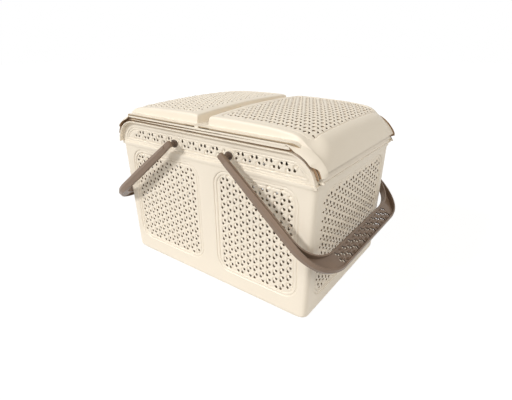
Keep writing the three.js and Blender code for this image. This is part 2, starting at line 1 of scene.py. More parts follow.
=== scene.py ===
# Dresses the two-lid picnic basket: pierced woven walls and lids, moulded handles,
# plastic materials, a studio floor and the camera. Metres, +Z up, front towards -Y.

import math
from dataclasses import dataclass

import bmesh
import bpy
import numpy as np
from mathutils import Matrix, Vector


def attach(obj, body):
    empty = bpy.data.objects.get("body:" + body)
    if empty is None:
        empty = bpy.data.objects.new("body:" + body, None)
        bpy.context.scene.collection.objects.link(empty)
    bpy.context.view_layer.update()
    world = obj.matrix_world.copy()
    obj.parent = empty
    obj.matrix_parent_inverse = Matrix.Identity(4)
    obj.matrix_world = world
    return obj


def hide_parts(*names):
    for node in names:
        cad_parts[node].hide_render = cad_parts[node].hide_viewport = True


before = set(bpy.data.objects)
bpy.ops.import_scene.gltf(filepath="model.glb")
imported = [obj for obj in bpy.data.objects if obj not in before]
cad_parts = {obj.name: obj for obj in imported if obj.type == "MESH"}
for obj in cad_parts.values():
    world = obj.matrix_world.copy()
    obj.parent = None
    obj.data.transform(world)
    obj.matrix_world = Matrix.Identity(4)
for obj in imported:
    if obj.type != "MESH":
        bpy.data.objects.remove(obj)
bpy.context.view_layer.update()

MM = 0.001

# A distance in mm that is far from everything, and the step that slopes are measured over
FAR = 50.0
SLOPE_STEP = 0.05

# Weave: staggered columns of woven knots. Each knot has an upper and a lower hole
# with a raised strand that winds between them. Offsets are (across, up) in mm.
KNOT_PITCH = (12.85, 14.6)
HOLE_OFFSET = (2.25, 3.7)
HOLE_RADIUS = 2.25
TAIL_RADIUS = 0.75
UPPER_TAIL = (-2.6, 1.0)
LOWER_TAIL = (-1.1, 3.2)
GROOVE_RADIUS = 4.3
GROOVE_WIDTH = 0.95
GROOVE_DEPTH = 1.7
GROOVE_SHALLOW_SHARE = 0.35
STRAND_RISE = 1.1
STRAND_SIZE = (1.7, 3.0)

# Tub, in mm
BELT_HEIGHT = 224.0
BELT_HALF_LENGTH = 210.0
BELT_HALF_DEPTH = 138.6
BASE_HALF_LENGTH = 199.5
RIM_HEIGHT = 231.7
WALL = 2.4
CORNER_RADIUS = 9.0
BOTTOM_EDGE_RADIUS = 11.0
BOTTOM_CORNER_GROWTH = 2.2
CELL = 0.9
SUNK_SHARE = 0.6
ARCH_CENTRE_X = 165.5
ARCH_CENTRE_Z = 226.5
ARCH_RADIUS = 45.5
FLANGE_REACH = 7.0
FLANGE_THICKNESS = 2.2
SIDE_RIM_REACH = 2.8
RIM_CORNER = 4.4
RIM_EDGE = 0.4
PANEL_STEP = 0.65
STEP_WIDTH = 1.6
LINE_GROOVE = 1.1
LINE_AT = 1.1
LINE_WIDTH = 0.85
PANEL_BORDER = 5.6
PANEL_RADIUS = 27.0
FIELD_MARGIN = 6.5
PIVOT_X = 60.0
PIVOT_Z = 247.0
BOSS_PROUD = 1.4


def smooth_step(low, high, value):
    """0 up to low, 1 from high on, and a smooth rise between them."""
    t = np.clip((value - low) / (high - low), 0.0, 1.0)
    return t * t * (3.0 - 2.0 * t)


def rounded_box(u, v, u0, u1, v0, v1, radius):
    """Signed distance to a rounded rectangle, negative inside."""
    du = np.abs(u - (u0 + u1) / 2) - (u1 - u0) / 2 + radius
    dv = np.abs(v - (v0 + v1) / 2) - (v1 - v0) / 2 + radius
    outside = np.hypot(np.maximum(du, 0), np.maximum(dv, 0))
    return outside + np.minimum(np.maximum(du, dv), 0) - radius


def teardrop(x, y, tail, round_end):
    """Signed distance to a round hole that draws out to a thin tail."""
    length = math.hypot(*tail)
    t = np.clip((x * tail[0] + y * tail[1]) / length ** 2, 0, 1)
    radius = round_end + (TAIL_RADIUS - round_end) * t
    return np.hypot(x - tail[0] * t, y - tail[1] * t) - radius


@dataclass
class Weave:
    """The knot lattice of one panel: holes and relief at any point of the panel."""

    anchor: tuple
    field: object
    turned: bool = False
    hand: int = 1
    pitch: tuple = KNOT_PITCH
    offset: tuple = HOLE_OFFSET
    hole: float = HOLE_RADIUS

    def local(self, u, v):
        """Panel coordinates as the pattern's own across and up."""
        a, b = (-v, u) if self.turned else (u, v)
        return a * self.hand, b

    def back(self, a, b):
        """The pattern's across and up as panel coordinates."""
        a = a * self.hand
        return (b, -a) if self.turned else (a, b)

    def knots(self, u, v):
        """Yields the offsets from each of the nine nearest knots, and its centre."""
        a, b = self.local(u, v)
        a0, b0 = self.local(*self.anchor)
        across, up = self.pitch
        column = np.round((a - a0) / across)
        for shift in (-1, 0, 1):
            i = column + shift
            ca = a0 + i * across
            start = b0 + up * (i / 2 - np.floor(i / 2))
            row = np.round((b - start) / up)
            for step in (-1, 0, 1):
                cb = start + (row + step) * up
                yield a - ca, b - cb, ca, cb

    def holes(self, u, v):
        """Signed distance to the nearest hole, negative inside it."""
        best = np.full(np.shape(u), FAR)
        ha, hb = self.offset
        for da, db, ca, cb in self.knots(u, v):
            for sign, tail in ((1, UPPER_TAIL), (-1, LOWER_TAIL)):
                inside = self.field(*self.back(ca + sign * ha, cb + sign * hb)) < -self.hole
                drop = teardrop(da - sign * ha, db - sign * hb, tail, self.hole)
                best = np.where(inside, np.minimum(best, drop), best)
        return best

    def relief(self, u, v):
        """Height over the panel: a raised strand in each knot with a groove round it."""
        height = np.zeros(np.shape(u))
        ha, hb = self.offset
        size = math.hypot(ha, hb)
        for da, db, ca, cb in self.knots(u, v):
            inside = smooth_step(1.0, -4.0, self.field(*self.back(ca, cb)))
            along = (da * ha + db * hb) / size
            across = (da * hb - db * ha) / size
            reach = np.hypot(da, db)
            groove = np.exp(-((reach - GROOVE_RADIUS) / GROOVE_WIDTH) ** 2)
            deep = GROOVE_SHALLOW_SHARE + (1 - GROOVE_SHALLOW_SHARE) * smooth_step(1.0, -2.0, across)
            strand = np.exp(-((along / STRAND_SIZE[0]) ** 2 + (across / STRAND_SIZE[1]) ** 2))
            height += inside * (STRAND_RISE * strand - GROOVE_DEPTH * deep * groove)
        return height


def panel_height(distance, border=PANEL_BORDER):
    """Two small steps down into a panel with a groove along each, at its outer and inner line."""
    height = 0.0
    for start in (0.0, -border):
        height = height - PANEL_STEP * smooth_step(start, start - STEP_WIDTH, distance)
        height = height - LINE_GROOVE * np.exp(-((distance - start + LINE_AT) / LINE_WIDTH) ** 2)
    return height


# Zones of a moulding, which are its material slots. The last zone, 2, is painted shade: a darker colour
# where shade falls, on holes' sides, sheet edges, studs and the frame's channel.
OUTSIDE = 0
INSIDE = 1
PAINTED_SHADE = 2


class Sheet:
    """A grid of points in (u, v), pierced where holes(u, v) is negative, given a skin.

    place(u, v, lift) gives the point at a height above the outer surface, in mm, and
    under(u, v, lift) the height of the inner skin. The grid follows the lines given.
    """

    def __init__(self, us, vs, holes, height, place, wall=WALL, lines=()):
        self.u, self.v = np.meshgrid(us, vs, indexing="ij")
        self.holes = holes
        self.height = height
        self.place = place
        self.lines = lines
        self.under = lambda u, v, lift: np.minimum(lift, 0) * SUNK_SHARE - wall
        self.step = 0.5 * min(np.min(np.diff(us)), np.min(np.diff(vs)))

    def snap(self, field, mask):
        """Moves the masked grid points onto the zero line of a distance field."""
        for _ in range(3):
            d = field(self.u, self.v)
            e = SLOPE_STEP
            gu = (field(self.u + e, self.v) - field(self.u - e, self.v)) / (2 * e)
            gv = (field(self.u, self.v + e) - field(self.u, self.v - e)) / (2 * e)
            size = np.maximum(gu * gu + gv * gv, 0.2)
            move_u = np.clip(-d * gu / size, -self.step, self.step)
            move_v = np.clip(-d * gv / size, -self.step, self.step)
            self.u = np.where(mask, self.u + move_u, self.u)
            self.v = np.where(mask, self.v + move_v, self.v)

    def build(self):
        """The outer skin, the inner skin and the rims that join them, as one part."""
        n, m = self.u.shape
        for line in self.lines:
            near = np.abs(line(self.u, self.v)) < self.step
            near[0, :] = near[-1, :] = near[:, 0] = near[:, -1] = False
            self.snap(line, near)
        cu = (self.u[:-1, :-1] + self.u[1:, 1:]) / 2
        cv = (self.v[:-1, :-1] + self.v[1:, 1:]) / 2
        keep = self.holes(cu, cv) > 0
        used = np.zeros((n, m), int)
        total = np.zeros((n, m), int)
        for i, j in ((0, 0), (0, 1), (1, 0), (1, 1)):
            used[i:n - 1 + i, j:m - 1 + j] += keep
            total[i:n - 1 + i, j:m - 1 + j] += 1
        edge = (used > 0) & (used < total)
        self.snap(self.holes, edge)
        lift = self.height(self.u, self.v)
        outer = self.place(self.u, self.v, lift)
        inner = self.place(self.u, self.v, self.under(self.u, self.v, lift))
        number = np.arange(n * m).reshape(n, m)
        quads = np.stack([number[:-1, :-1], number[1:, :-1], number[1:, 1:], number[:-1, 1:]], -1)
        quads = quads[keep]
        count = n * m
        edges = np.concatenate([quads[:, [k, (k + 1) % 4]] for k in range(4)])
        key = edges[:, 0].astype(np.int64) * count + edges[:, 1]
        other = edges[:, 1].astype(np.int64) * count + edges[:, 0]
        rim = edges[~np.isin(key, other)]
        rim_quads = np.stack([rim[:, 1], rim[:, 0], rim[:, 0] + count, rim[:, 1] + count], -1)
        points = np.concatenate([outer.reshape(-1, 3), inner.reshape(-1, 3)])
        faces = np.concatenate([quads, quads[:, ::-1] + count, rim_quads])
        # Holes' sides and the sheet's edges take zone 2, painted shade.
        zones = np.repeat([OUTSIDE, INSIDE, PAINTED_SHADE], [len(quads), len(quads), len(rim_quads)])
        return points, faces.tolist(), zones


def link_object(name, data):
    """A new object for the data, in the scene."""
    obj = bpy.data.objects.new(name, data)
    bpy.context.scene.collection.objects.link(obj)
    return obj


def mesh_object(name, points, faces, zones, smooth_angle=40.0):
    """A smooth-shaded mesh object from points in mm."""
    mesh = bpy.data.meshes.new(name)
    mesh.from_pydata((np.asarray(points) * MM).tolist(), [], faces)
    mesh.polygons.foreach_set("material_index", zones)
    bm = bmesh.new()
    bm.from_mesh(mesh)
    loose = [v for v in bm.verts if not v.link_faces]
    bmesh.ops.delete(bm, geom=loose, context="VERTS")
    bmesh.ops.remove_doubles(bm, verts=bm.verts, dist=0.00002)
    bm.to_mesh(mesh)
    bm.free()
    mesh.update()
    obj = link_object(name, mesh)
    mesh.set_sharp_from_angle(angle=math.radians(smooth_angle))
    mesh.polygons.foreach_set("use_smooth", np.ones(len(mesh.polygons), bool))
    return obj


def merge(parts):
    """Joins (points, faces) or (points, faces, zones) parts into one."""
    points = []
    faces = []
    zones = []
    offset = 0
    for part in parts:
        part_points, part_faces = part[:2]
        points.append(np.asarray(part_points, float))
        faces.extend([i + offset for i in face] for face in part_faces)
        zones.extend(part[2] if len(part) > 2 else [OUTSIDE] * len(part_faces))
        offset += len(part_points)
    return np.concatenate(points), faces, zones


# Tub walls, floor and rim


def tub_half_length(z):
    return BASE_HALF_LENGTH + (BELT_HALF_LENGTH - BASE_HALF_LENGTH) * z / BELT_HEIGHT


def tub_half_depth(z):
    return BELT_HALF_DEPTH + 0 * z


def panel(u0, u1, v0, v1, anchor, hole=HOLE_RADIUS):
    """The signed distance to a sunk panel, negative inside it, and the panel's weave."""

    def field(u, v):
        return rounded_box(u, v, u0, u1, v0, v1, PANEL_RADIUS)

    return field, Weave(anchor, lambda u, v: field(u, v) + FIELD_MARGIN, hole=hole)


# Each panel's limits along and up its wall, and one knot of its weave
FRONT_PANELS = (
    panel(-184.0, -10.0, 33.5, 218.5, (-39.75, 186.3)),
    panel(21.8, 184.0, 33.5, 218.5, (53.25, 193.8)),
)
SIDE_PANELS = (panel(-118.0, 118.0, 30.0, 216.0, (-97.5, 184.0), hole=1.9),)


def combined(panels):
    """One height, one hole field and the step lines of all the panels of a wall."""

    def height(u, v):
        return sum(panel_height(f(u, v)) + w.relief(u, v) for f, w in panels)

    def holes(u, v):
        return np.minimum.reduce([w.holes(u, v) for _, w in panels])

    lines = [f for f, _ in panels] + [lambda u, v, f=f: f(u, v) + PANEL_BORDER for f, _ in panels]
    return height, holes, lines


def wall_place(half_out, turn):
    """Stands a wall sheet up: u along the wall, v up it, lift outwards."""
    cos, sin = math.cos(turn), math.sin(turn)

    def place(u, v, lift):
        out = half_out(v) + lift
        x = u * cos + out * sin
        y = u * sin - out * cos
        return np.stack([x, y, v], -1)

    return place


def tub_walls():
    """The four pierced walls from the floor's edge up to the belt."""
    low = BOTTOM_EDGE_RADIUS
    rows = np.linspace(low, BELT_HEIGHT, int((BELT_HEIGHT - low) / CELL) + 1)
    parts = []
    front = combined(FRONT_PANELS)
    side = combined(SIDE_PANELS)
    for turn, half_out, half_wide, (height, holes, lines) in (
        (0.0, tub_half_depth, tub_half_length, front),
        (math.pi / 2, tub_half_length, tub_half_depth, side),
    ):
        reach = half_wide(BELT_HEIGHT) - CORNER_RADIUS
        columns = np.linspace(-reach, reach, int(2 * reach / CELL) + 1)
        base = wall_place(half_out, turn)

        def place(u, v, lift, base=base, half_wide=half_wide, reach=reach):
            fit = (half_wide(v) - CORNER_RADIUS) / reach
            near_edge = smooth_step(0.93, 1.0, np.abs(u) / reach)
            return base(u * (1 + (fit - 1) * near_edge), v, lift)

        wall = Sheet(columns, rows, holes, height, place, lines=lines).build()
        parts += [wall, mirrored(wall, -1, -1, 1)]
    return parts


def flipped(faces, flip):
    return [f[::-1] for f in faces] if flip else faces


def mirrored(part, *signs):
    """The part with its coordinates multiplied by the signs and its faces still outward."""
    points, faces, *zones = part
    return (points * np.array(signs), flipped(faces, np.prod(signs) < 0), *zones)


CORNERS = ((-1, -1), (-1, 1), (1, -1), (1, 1))


def corner_bands():
    """Quarter-round corners between the walls, from the rolled floor edge up to the rim."""
    steps = 10
    levels = np.linspace(BOTTOM_EDGE_RADIUS, RIM_HEIGHT - FLANGE_THICKNESS / 2, 12)
    angle = np.linspace(0, math.pi / 2, steps + 1)
    parts = []
    for inset in (0.0, WALL):
        r = CORNER_RADIUS - inset
        rows = []
        for z in levels:
            x = tub_half_length(z) - CORNER_RADIUS + r * np.cos(angle)
            y = BELT_HALF_DEPTH - CORNER_RADIUS + r * np.sin(angle)
            rows.append(np.stack([x, y, np.full_like(x, z)], -1))
        faces = []
        for k in range(len(levels) - 1):
            for a in range(k * (steps + 1), k * (steps + 1) + steps):
                b = a + steps + 1
                faces.append([a, a + 1, b + 1, b])
        band = (np.concatenate(rows), flipped(faces, inset > 0))
        parts += [mirrored(band, sx, sy, 1) for sx, sy in CORNERS]
    return parts


def rounded_outline(half_wide, half_tall, radius, steps):
    """The points of a rounded rectangle, anticlockwise from its right side."""
    points = []
    for quadrant, (sx, sy) in enumerate(((1, 1), (-1, 1), (-1, -1), (1, -1))):
        for i in range(steps + 1):
            angle = (quadrant + i / steps) * math.pi / 2
            points.append((sx * (half_wide - radius) + radius * math.cos(angle),
                           sy * (half_tall - radius) + radius * math.sin(angle)))
    return points


def ring(half_length, half_depth, radius, z):
    """A rounded rectangle in the XY plane at height z."""
    return [(x, y, z) for x, y in rounded_outline(half_length, half_depth, radius, 8)]


def loft(rings, closed=False):
    """Faces between rings of equal length, facing out where the rings climb.

    A closed loft joins its last ring to its first one, and an open one is capped.
    """
    count = len(rings[0])
    points = [p for r in rings for p in r]
    faces = []
    for k in range(len(rings) if closed else len(rings) - 1):
        here, there = k * count, (k + 1) % len(rings) * count
        for i in range(count):
            j = (i + 1) % count
            faces.append([here + i, here + j, there + j, there + i])
    if not closed:
        faces.append(list(range(count))[::-1])
        faces.append([(len(rings) - 1) * count + i for i in range(count)])
    return np.array(points, float), faces


def floor_pan():
    """The flat floor with its rolled outer edge, inside and out."""
    parts = []
    for inset, flip in ((0.0, False), (WALL, True)):
        rings = []
        for k in range(9):
            angle = k / 8 * math.pi / 2
            radius = BOTTOM_EDGE_RADIUS - inset
            z = inset + radius * (1 - math.cos(angle))
            draw = inset + radius * (1 - math.sin(angle))
            half = tub_half_length(z) - draw
            corner = CORNER_RADIUS + BOTTOM_CORNER_GROWTH * draw
            rings.append(ring(half, BELT_HALF_DEPTH - draw, corner, z))
        points, faces = loft(rings)
        # The last face is the cap on top, where the walls go on.
        parts.append((points, flipped(faces[:-1], flip)))
    return parts


def arch_distance(x, z, radius):
    """Signed distance to the gable's outline, negative below it."""
    across = np.abs(x) - ARCH_CENTRE_X
    up = z - ARCH_CENTRE_Z
    corner = np.hypot(np.maximum(across, 0), np.maximum(up, 0)) - radius
    return np.where(across > 0, corner, up - radius)


GABLE_PANEL_RADIUS = 33.5
GABLE_PANEL_LOW = 232.5
GABLE_PANEL_BORDER = 4.2
GABLE_ANCHOR = (22.25, 248.3)
GABLE_FIELD_LOW = 235.0
PIVOT_CLEARANCE = 11.0
UNPIERCED = 9.0


def gable_field(x, z):
    """Signed distance to the gable's panel, negative inside it."""
    return np.maximum(arch_distance(x, z, GABLE_PANEL_RADIUS), GABLE_PANEL_LOW - z)


def gables():
    """The raised long sides with their shallow pierced band."""
    weave = Weave(
        GABLE_ANCHOR,
        lambda u, v: np.maximum(gable_field(u, v) + GABLE_PANEL_BORDER + 1, GABLE_FIELD_LOW - v),
    )

    def clear_of_pivots(u, v):
        return np.hypot(np.abs(u) - PIVOT_X, v - PIVOT_Z) - PIVOT_CLEARANCE

    def holes(u, v):
        pierced = np.where(clear_of_pivots(u, v) > 0, weave.holes(u, v), UNPIERCED)
        return np.minimum(pierced, -arch_distance(u, v, ARCH_RADIUS - 1))

    def height(u, v):
        panel = panel_height(gable_field(u, v), GABLE_PANEL_BORDER)
        away = smooth_step(-1.0, 3.0, clear_of_pivots(u, v))
        return panel * away + weave.relief(u, v) * away

    reach = ARCH_CENTRE_X + ARCH_RADIUS
    columns = np.linspace(-reach, reach, 370)
    rows = np.linspace(BELT_HEIGHT, ARCH_CENTRE_Z + ARCH_RADIUS, 43)
    lines = [gable_field, lambda u, v: gable_field(u, v) + GABLE_PANEL_BORDER]
    place = wall_place(tub_half_depth, 0.0)
    gable = Sheet(columns, rows, holes, height, place, lines=lines).build()
    return [gable, mirrored(gable, -1, -1, 1)]


FLANGE_STEPS = 20
FLANGE_EDGE = 0.5


def flanges():
    """The flange that follows each gable line and stands out from it."""
    inside = BELT_HALF_DEPTH - WALL
    outside = BELT_HALF_DEPTH + FLANGE_REACH
    under = -FLANGE_THICKNESS
    section = [(inside, under), (outside - FLANGE_EDGE, under), (outside, under + FLANGE_EDGE),
               (outside, -FLANGE_EDGE), (outside - FLANGE_EDGE, 0.0), (inside, 0.0)]
    start = math.asin((RIM_HEIGHT - FLANGE_THICKNESS - ARCH_CENTRE_Z) / ARCH_RADIUS)
    angles = np.linspace(start, math.pi / 2, FLANGE_STEPS + 1)
    turns = [(1, a) for a in angles] + [(-1, a) for a in angles[::-1]]
    rings = [[(end * (ARCH_CENTRE_X + (ARCH_RADIUS + up) * math.cos(angle)), -out,
               ARCH_CENTRE_Z + (ARCH_RADIUS + up) * math.sin(angle)) for out, up in section]
             for end, angle in turns]
    flange = loft(rings)
    return [flange, mirrored(flange, 1, -1, 1)]


def box_part(x0, x1, y0, y1, z0, z1):
    """A box from its limits."""
    points = [(x, y, z) for x in (x0, x1) for y in (y0, y1) for z in (z0, z1)]
    faces = [[0, 1, 3, 2], [4, 6, 7, 5], [0, 4, 5, 1], [2, 3, 7, 6], [0, 2, 6, 4], [1, 5, 7, 3]]
    return np.array(points, float), faces


BELT_PROUD = 1.3
BELT_LOW = 223.2
BELT_HIGH = 230.2
BELT_SUNK = -1.5


def belt():
    """The bead that runs right round the tub at its belt line."""
    lower = ((BELT_SUNK, 0.0), (0.0, 0.0), (BELT_PROUD - 0.4, 0.3), (BELT_PROUD, 1.2))
    section = [(proud, BELT_LOW + rise) for proud, rise in lower]
    section += [(proud, BELT_HIGH - rise) for proud, rise in lower[::-1]]
    rings = [ring(BELT_HALF_LENGTH + proud, BELT_HALF_DEPTH + proud, CORNER_RADIUS + proud, z)
             for proud, z in section]
    return loft(rings, closed=True)


def side_rims():
    """The short sides above the belt, and the rim that turns the corners along their top."""
    reach = BELT_HALF_DEPTH + FLANGE_REACH
    high = tub_half_length(RIM_HEIGHT)
    outside = high + SIDE_RIM_REACH
    start = outside - RIM_CORNER - 0.5
    plan = [(start, -reach)]
    for angle in np.linspace(-math.pi / 2, 0, 9):
        plan.append((outside - RIM_CORNER + RIM_CORNER * math.cos(angle),
                     RIM_CORNER - reach + RIM_CORNER * math.sin(angle)))
    plan += [(x, -y) for x, y in plan[::-1]]
    low_z = RIM_HEIGHT - FLANGE_THICKNESS
    inner_depth = BELT_HALF_DEPTH - 1
    wall = box_part(tub_half_length(BELT_HEIGHT) - WALL, high, -inner_depth, inner_depth,
                    BELT_HEIGHT - 0.1, RIM_HEIGHT)
    rings = []
    for x, y in plan:
        inner_x = min(x, high - 1)
        inner_y = max(min(y, inner_depth), -inner_depth)
        # The edge is rounded over a small distance back towards the tub.
        size = math.hypot(x - inner_x, y - inner_y)
        soft_x = x - RIM_EDGE * (x - inner_x) / size
        soft_y = y - RIM_EDGE * (y - inner_y) / size
        rings.append([(-inner_x, inner_y, low_z), (-soft_x, soft_y, low_z), (-x, y, low_z + RIM_EDGE),
                      (-x, y, RIM_HEIGHT - RIM_EDGE), (-soft_x, soft_y, RIM_HEIGHT),
                      (-inner_x, inner_y, RIM_HEIGHT)])
    rim = loft(rings)
    return [wall, mirrored(wall, -1, 1, 1), rim, mirrored(rim, -1, 1, 1)]


def turned_about_y(profile, x, z, side, closed=False):
    """A shape turned round an axis along Y. The profile is (radius, distance from y = 0)."""
    rings = []
    for radius, y in profile:
        rings.append([(x + radius * math.cos(a), side * y, z + radius * math.sin(a))
                      for a in np.linspace(0, 2 * math.pi, 33)[:-1]])
    points, faces = loft(rings, closed)
    return points, flipped(faces, side > 0)


def pivot_bosses():
    """The round boss on each gable that a handle's stud turns in."""
    inside = BELT_HALF_DEPTH - WALL
    face = BELT_HALF_DEPTH + BOSS_PROUD
    profile = [(4.6, inside), (8.0, inside), (8.6, inside + 0.6), (8.6, face - 0.7), (8.2, face - 0.2),
               (7.6, face), (6.2, face), (5.7, face - 0.5), (4.6, face - 0.6)]
    return [turned_about_y(profile, x, PIVOT_Z, side, closed=True)
            for side in (-1, 1) for x in (-PIVOT_X, PIVOT_X)]


def make_tub():
    """The whole tub as one moulding."""
    parts = tub_walls() + gables() + corner_bands() + floor_pan() + flanges()
    parts += side_rims() + pivot_bosses() + [belt()]
    return mesh_object("tub_moulding", *merge(parts))


# Rim frame

FRAME_TOP = 283.0
CREST_START_X = 165.0
CREST_END_X = 221.5
CREST_END_Z = 250.0
CREST_LEAD = 29.0
CREST_TAIL = (8.5, 16.0)

# What the CAD frame has: the channel's wall, the bead's front and its radii about the arch
CHANNEL_FRONT = 143.2
BAND_FRONT = 146.8
BAND_OUTER_RADIUS = 54.2
BAND_INNER_RADIUS = 45.0
BAR_HALF = 5.0
BAR_TOP = FRAME_TOP - 9.0
ON_A_FACE = 0.2

# What the scene makes of it. Angles are in degrees over the level at the arch's centre.
CHANNEL_FLOOR = 139.4
CHANNEL_DEEPER = 1.5
FRAME_EDGE_ROUND = 0.3
FACET_FROM = 131.0
FACET_ROOT = CHANNEL_FLOOR - 1.8
FACET_ANGLES = (90.0, 17.5)
FACET_RINGS = 46
FACET_FRONT = 147.5
FACET_DRAWN_IN = 7.6
FACET_EDGE_RADIUS = 50.7
FACET_FLARE = 3.8
FACET_ROOT_DROP = 1.6
FACET_BULGE = 0.7
# Where the facet lifts off the crest, its root drops, its edge flares and its front draws in
FACET_LIFTS = (92.0, 72.0)
FACET_DROPS = (56.0, 42.0)
FACET_FLARES = (41.0, 28.0)
FACET_DRAWS_IN = (44.0, 29.0)
PRESSED_ANGLES = (12.0, 86.0)


def crest_line(count):
    """Points of the crest, the frame's top line at the corner, and its unit tangents."""
    t = np.linspace(0, 1, count)
    px = np.array([CREST_START_X, CREST_START_X + CREST_LEAD, CREST_END_X - CREST_TAIL[0], CREST_END_X])
    pz = np.array([FRAME_TOP, FRAME_TOP, CREST_END_Z + CREST_TAIL[1], CREST_END_Z])
    basis = np.stack([(1 - t) ** 3, 3 * t * (1 - t) ** 2, 3 * t * t * (1 - t), t ** 3])
    slope = np.stack([3 * (1 - t) ** 2, 6 * t * (1 - t), 3 * t * t])
    tangent = np.stack([np.diff(px) @ slope, np.diff(pz) @ slope])
    return np.stack([px @ basis, pz @ basis]), tangent / np.linalg.norm(tangent, axis=0)


def crest_radius(angle):
    """Distance of the crest from the arch's centre at an angle."""
    (x, z), _ = crest_line(60)
    at = np.degrees(np.arctan2(z - ARCH_CENTRE_Z, x - ARCH_CENTRE_X))
    away = np.hypot(x - ARCH_CENTRE_X, z - ARCH_CENTRE_Z)
    return float(np.interp(angle, at[::-1], away[::-1]))


def facet_section(angle):
    """The facet's section at an angle: (y, radius) from the lid's edge round to the inside."""
    crest = crest_radius(angle)
    edge = crest + (FACET_EDGE_RADIUS - crest) * smooth_step(*FACET_LIFTS, angle)
    root = edge - FACET_ROOT_DROP * smooth_step(*FACET_DROPS, angle)
    edge += FACET_FLARE * smooth_step(*FACET_FLARES, angle)
    front = FACET_FRONT - FACET_DRAWN_IN * smooth_step(*FACET_DRAWS_IN, angle)
    middle = crest + 0.42 * (edge - crest) + FACET_BULGE
    return [(FACET_FROM, crest), ((FACET_FROM + front) / 2, middle), (front - 0.6, edge + 0.5),
            (front, edge), (front - 0.2, edge - 0.6), (front - 1.6, edge - 0.8),
            (FACET_ROOT, root + 0.4), (FACET_FROM, min(root + 1.2, crest - 2.5))]


# The faces of that section that the channel's painted shade goes on
FACET_UNDERSIDE = (4, 5, 6, 7)


def frame_point(x, y, z):
    """Where a point of the CAD frame's corner goes. All coordinates are taken positive."""
    angle = math.degrees(math.atan2(z - ARCH_CENTRE_Z, x - ARCH_CENTRE_X))
    radius = math.hypot(z - ARCH_CENTRE_Z, x - ARCH_CENTRE_X)
    low, high = PRESSED_ANGLES
    if x < BAR_HALF and z < BAR_TOP:
        return x, min(y, CHANNEL_FLOOR), z
    if abs(y - CHANNEL_FRONT) < ON_A_FACE:
        return x, CHANNEL_FLOOR, z
    if y > FACET_FROM - 2 and low < angle < high and radius > BAND_INNER_RADIUS:
        # Round the corner the bead sinks away, and the rest is pressed down under the facet.
        (_, inner), (_, outer) = facet_section(angle)[:-3:-1]
        floor = CHANNEL_FLOOR - CHANNEL_DEEPER * smooth_step(88.0, 80.0, angle)
        on_bead = radius < BAND_OUTER_RADIUS + 0.15
        sunk = smooth_step(88.0, 70.0, angle) if on_bead else 1.0
        back = y + sunk * (min(y, floor) - y)
        new = min(radius, np.interp(back, (FACET_FROM, FACET_ROOT), (inner, outer)) + 0.7)
        return (ARCH_CENTRE_X + (x - ARCH_CENTRE_X) * new / radius, back,
                ARCH_CENTRE_Z + (z - ARCH_CENTRE_Z) * new / radius)
    return x, y, z


def crest_facets():
    """The broad facets between the lids' edge and the crest's front edge, at the four corners."""
    rings = []
    for angle in np.linspace(*FACET_ANGLES, FACET_RINGS):
        cos, sin = math.cos(math.radians(angle)), math.sin(math.radians(angle))
        rings.append([(min(ARCH_CENTRE_X + radius * cos, CREST_END_X), -y, ARCH_CENTRE_Z + radius * sin)
                      for y, radius in facet_section(angle)])
    points, faces = loft(rings)
    sides = len(rings[0])
    zones = [PAINTED_SHADE if k % sides in FACET_UNDERSIDE else OUTSIDE for k in range(len(faces) - 2)]
    zones += [OUTSIDE, OUTSIDE]
    return [mirrored((points, faces, zones), sx, sy, 1) for sx, sy in CORNERS]


def make_rim_frame():
    """The frame's solid with rounded edges, a deeper channel under its bead, and the facets."""
    bm = bmesh.new()
    bm.from_mesh(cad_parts["rim_frame"].data)
    bmesh.ops.remove_doubles(bm, verts=bm.verts, dist=0.00001)
    for vert in bm.verts:
        moved = frame_point(*(abs(c) / MM for c in vert.co))
        vert.co = [math.copysign(new * MM, old) for new, old in zip(moved, vert.co)]
    bmesh.ops.dissolve_limit(bm, angle_limit=math.radians(1), verts=bm.verts, edges=bm.edges)
    sharp = [e for e in bm.edges if len(e.link_faces) == 2 and e.calc_face_angle() > math.radians(40)]
    bmesh.ops.bevel(bm, geom=sharp, offset=FRAME_EDGE_ROUND * MM, segments=2, profile=0.5,
                    affect="EDGES", clamp_overlap=True)
    bmesh.ops.triangulate(bm, faces=bm.faces)
    bm.verts.index_update()
    zones = []
    for face in bm.faces:
        x, y, z = (abs(c) / MM for c in face.calc_center_median())
        radius = math.hypot(z - ARCH_CENTRE_Z, max(x - ARCH_CENTRE_X, 0))
        # The channel's floor is what faces out along Y between its depth and the bead's.
        in_depth = CHANNEL_FLOOR - CHANNEL_DEEPER - 0.4 < y < BAND_FRONT - 2.5
        in_channel = in_depth and radius < BAND_OUTER_RADIUS and abs(face.normal.y) > 0.7
        # The channel's faces get painted shade, a brown that stands for the shade in the channel.
        zones.append(PAINTED_SHADE if in_channel else OUTSIDE)
    points = [tuple(v.co / MM) for v in bm.verts]
    faces = [[v.index for v in face.verts] for face in bm.faces]
    bm.free()
    return mesh_object("rim_frame_moulding", *merge([(points, faces, zones)] + crest_facets()))


# Lids. The shape follows the rim frame's crest line, as in the CAD source.

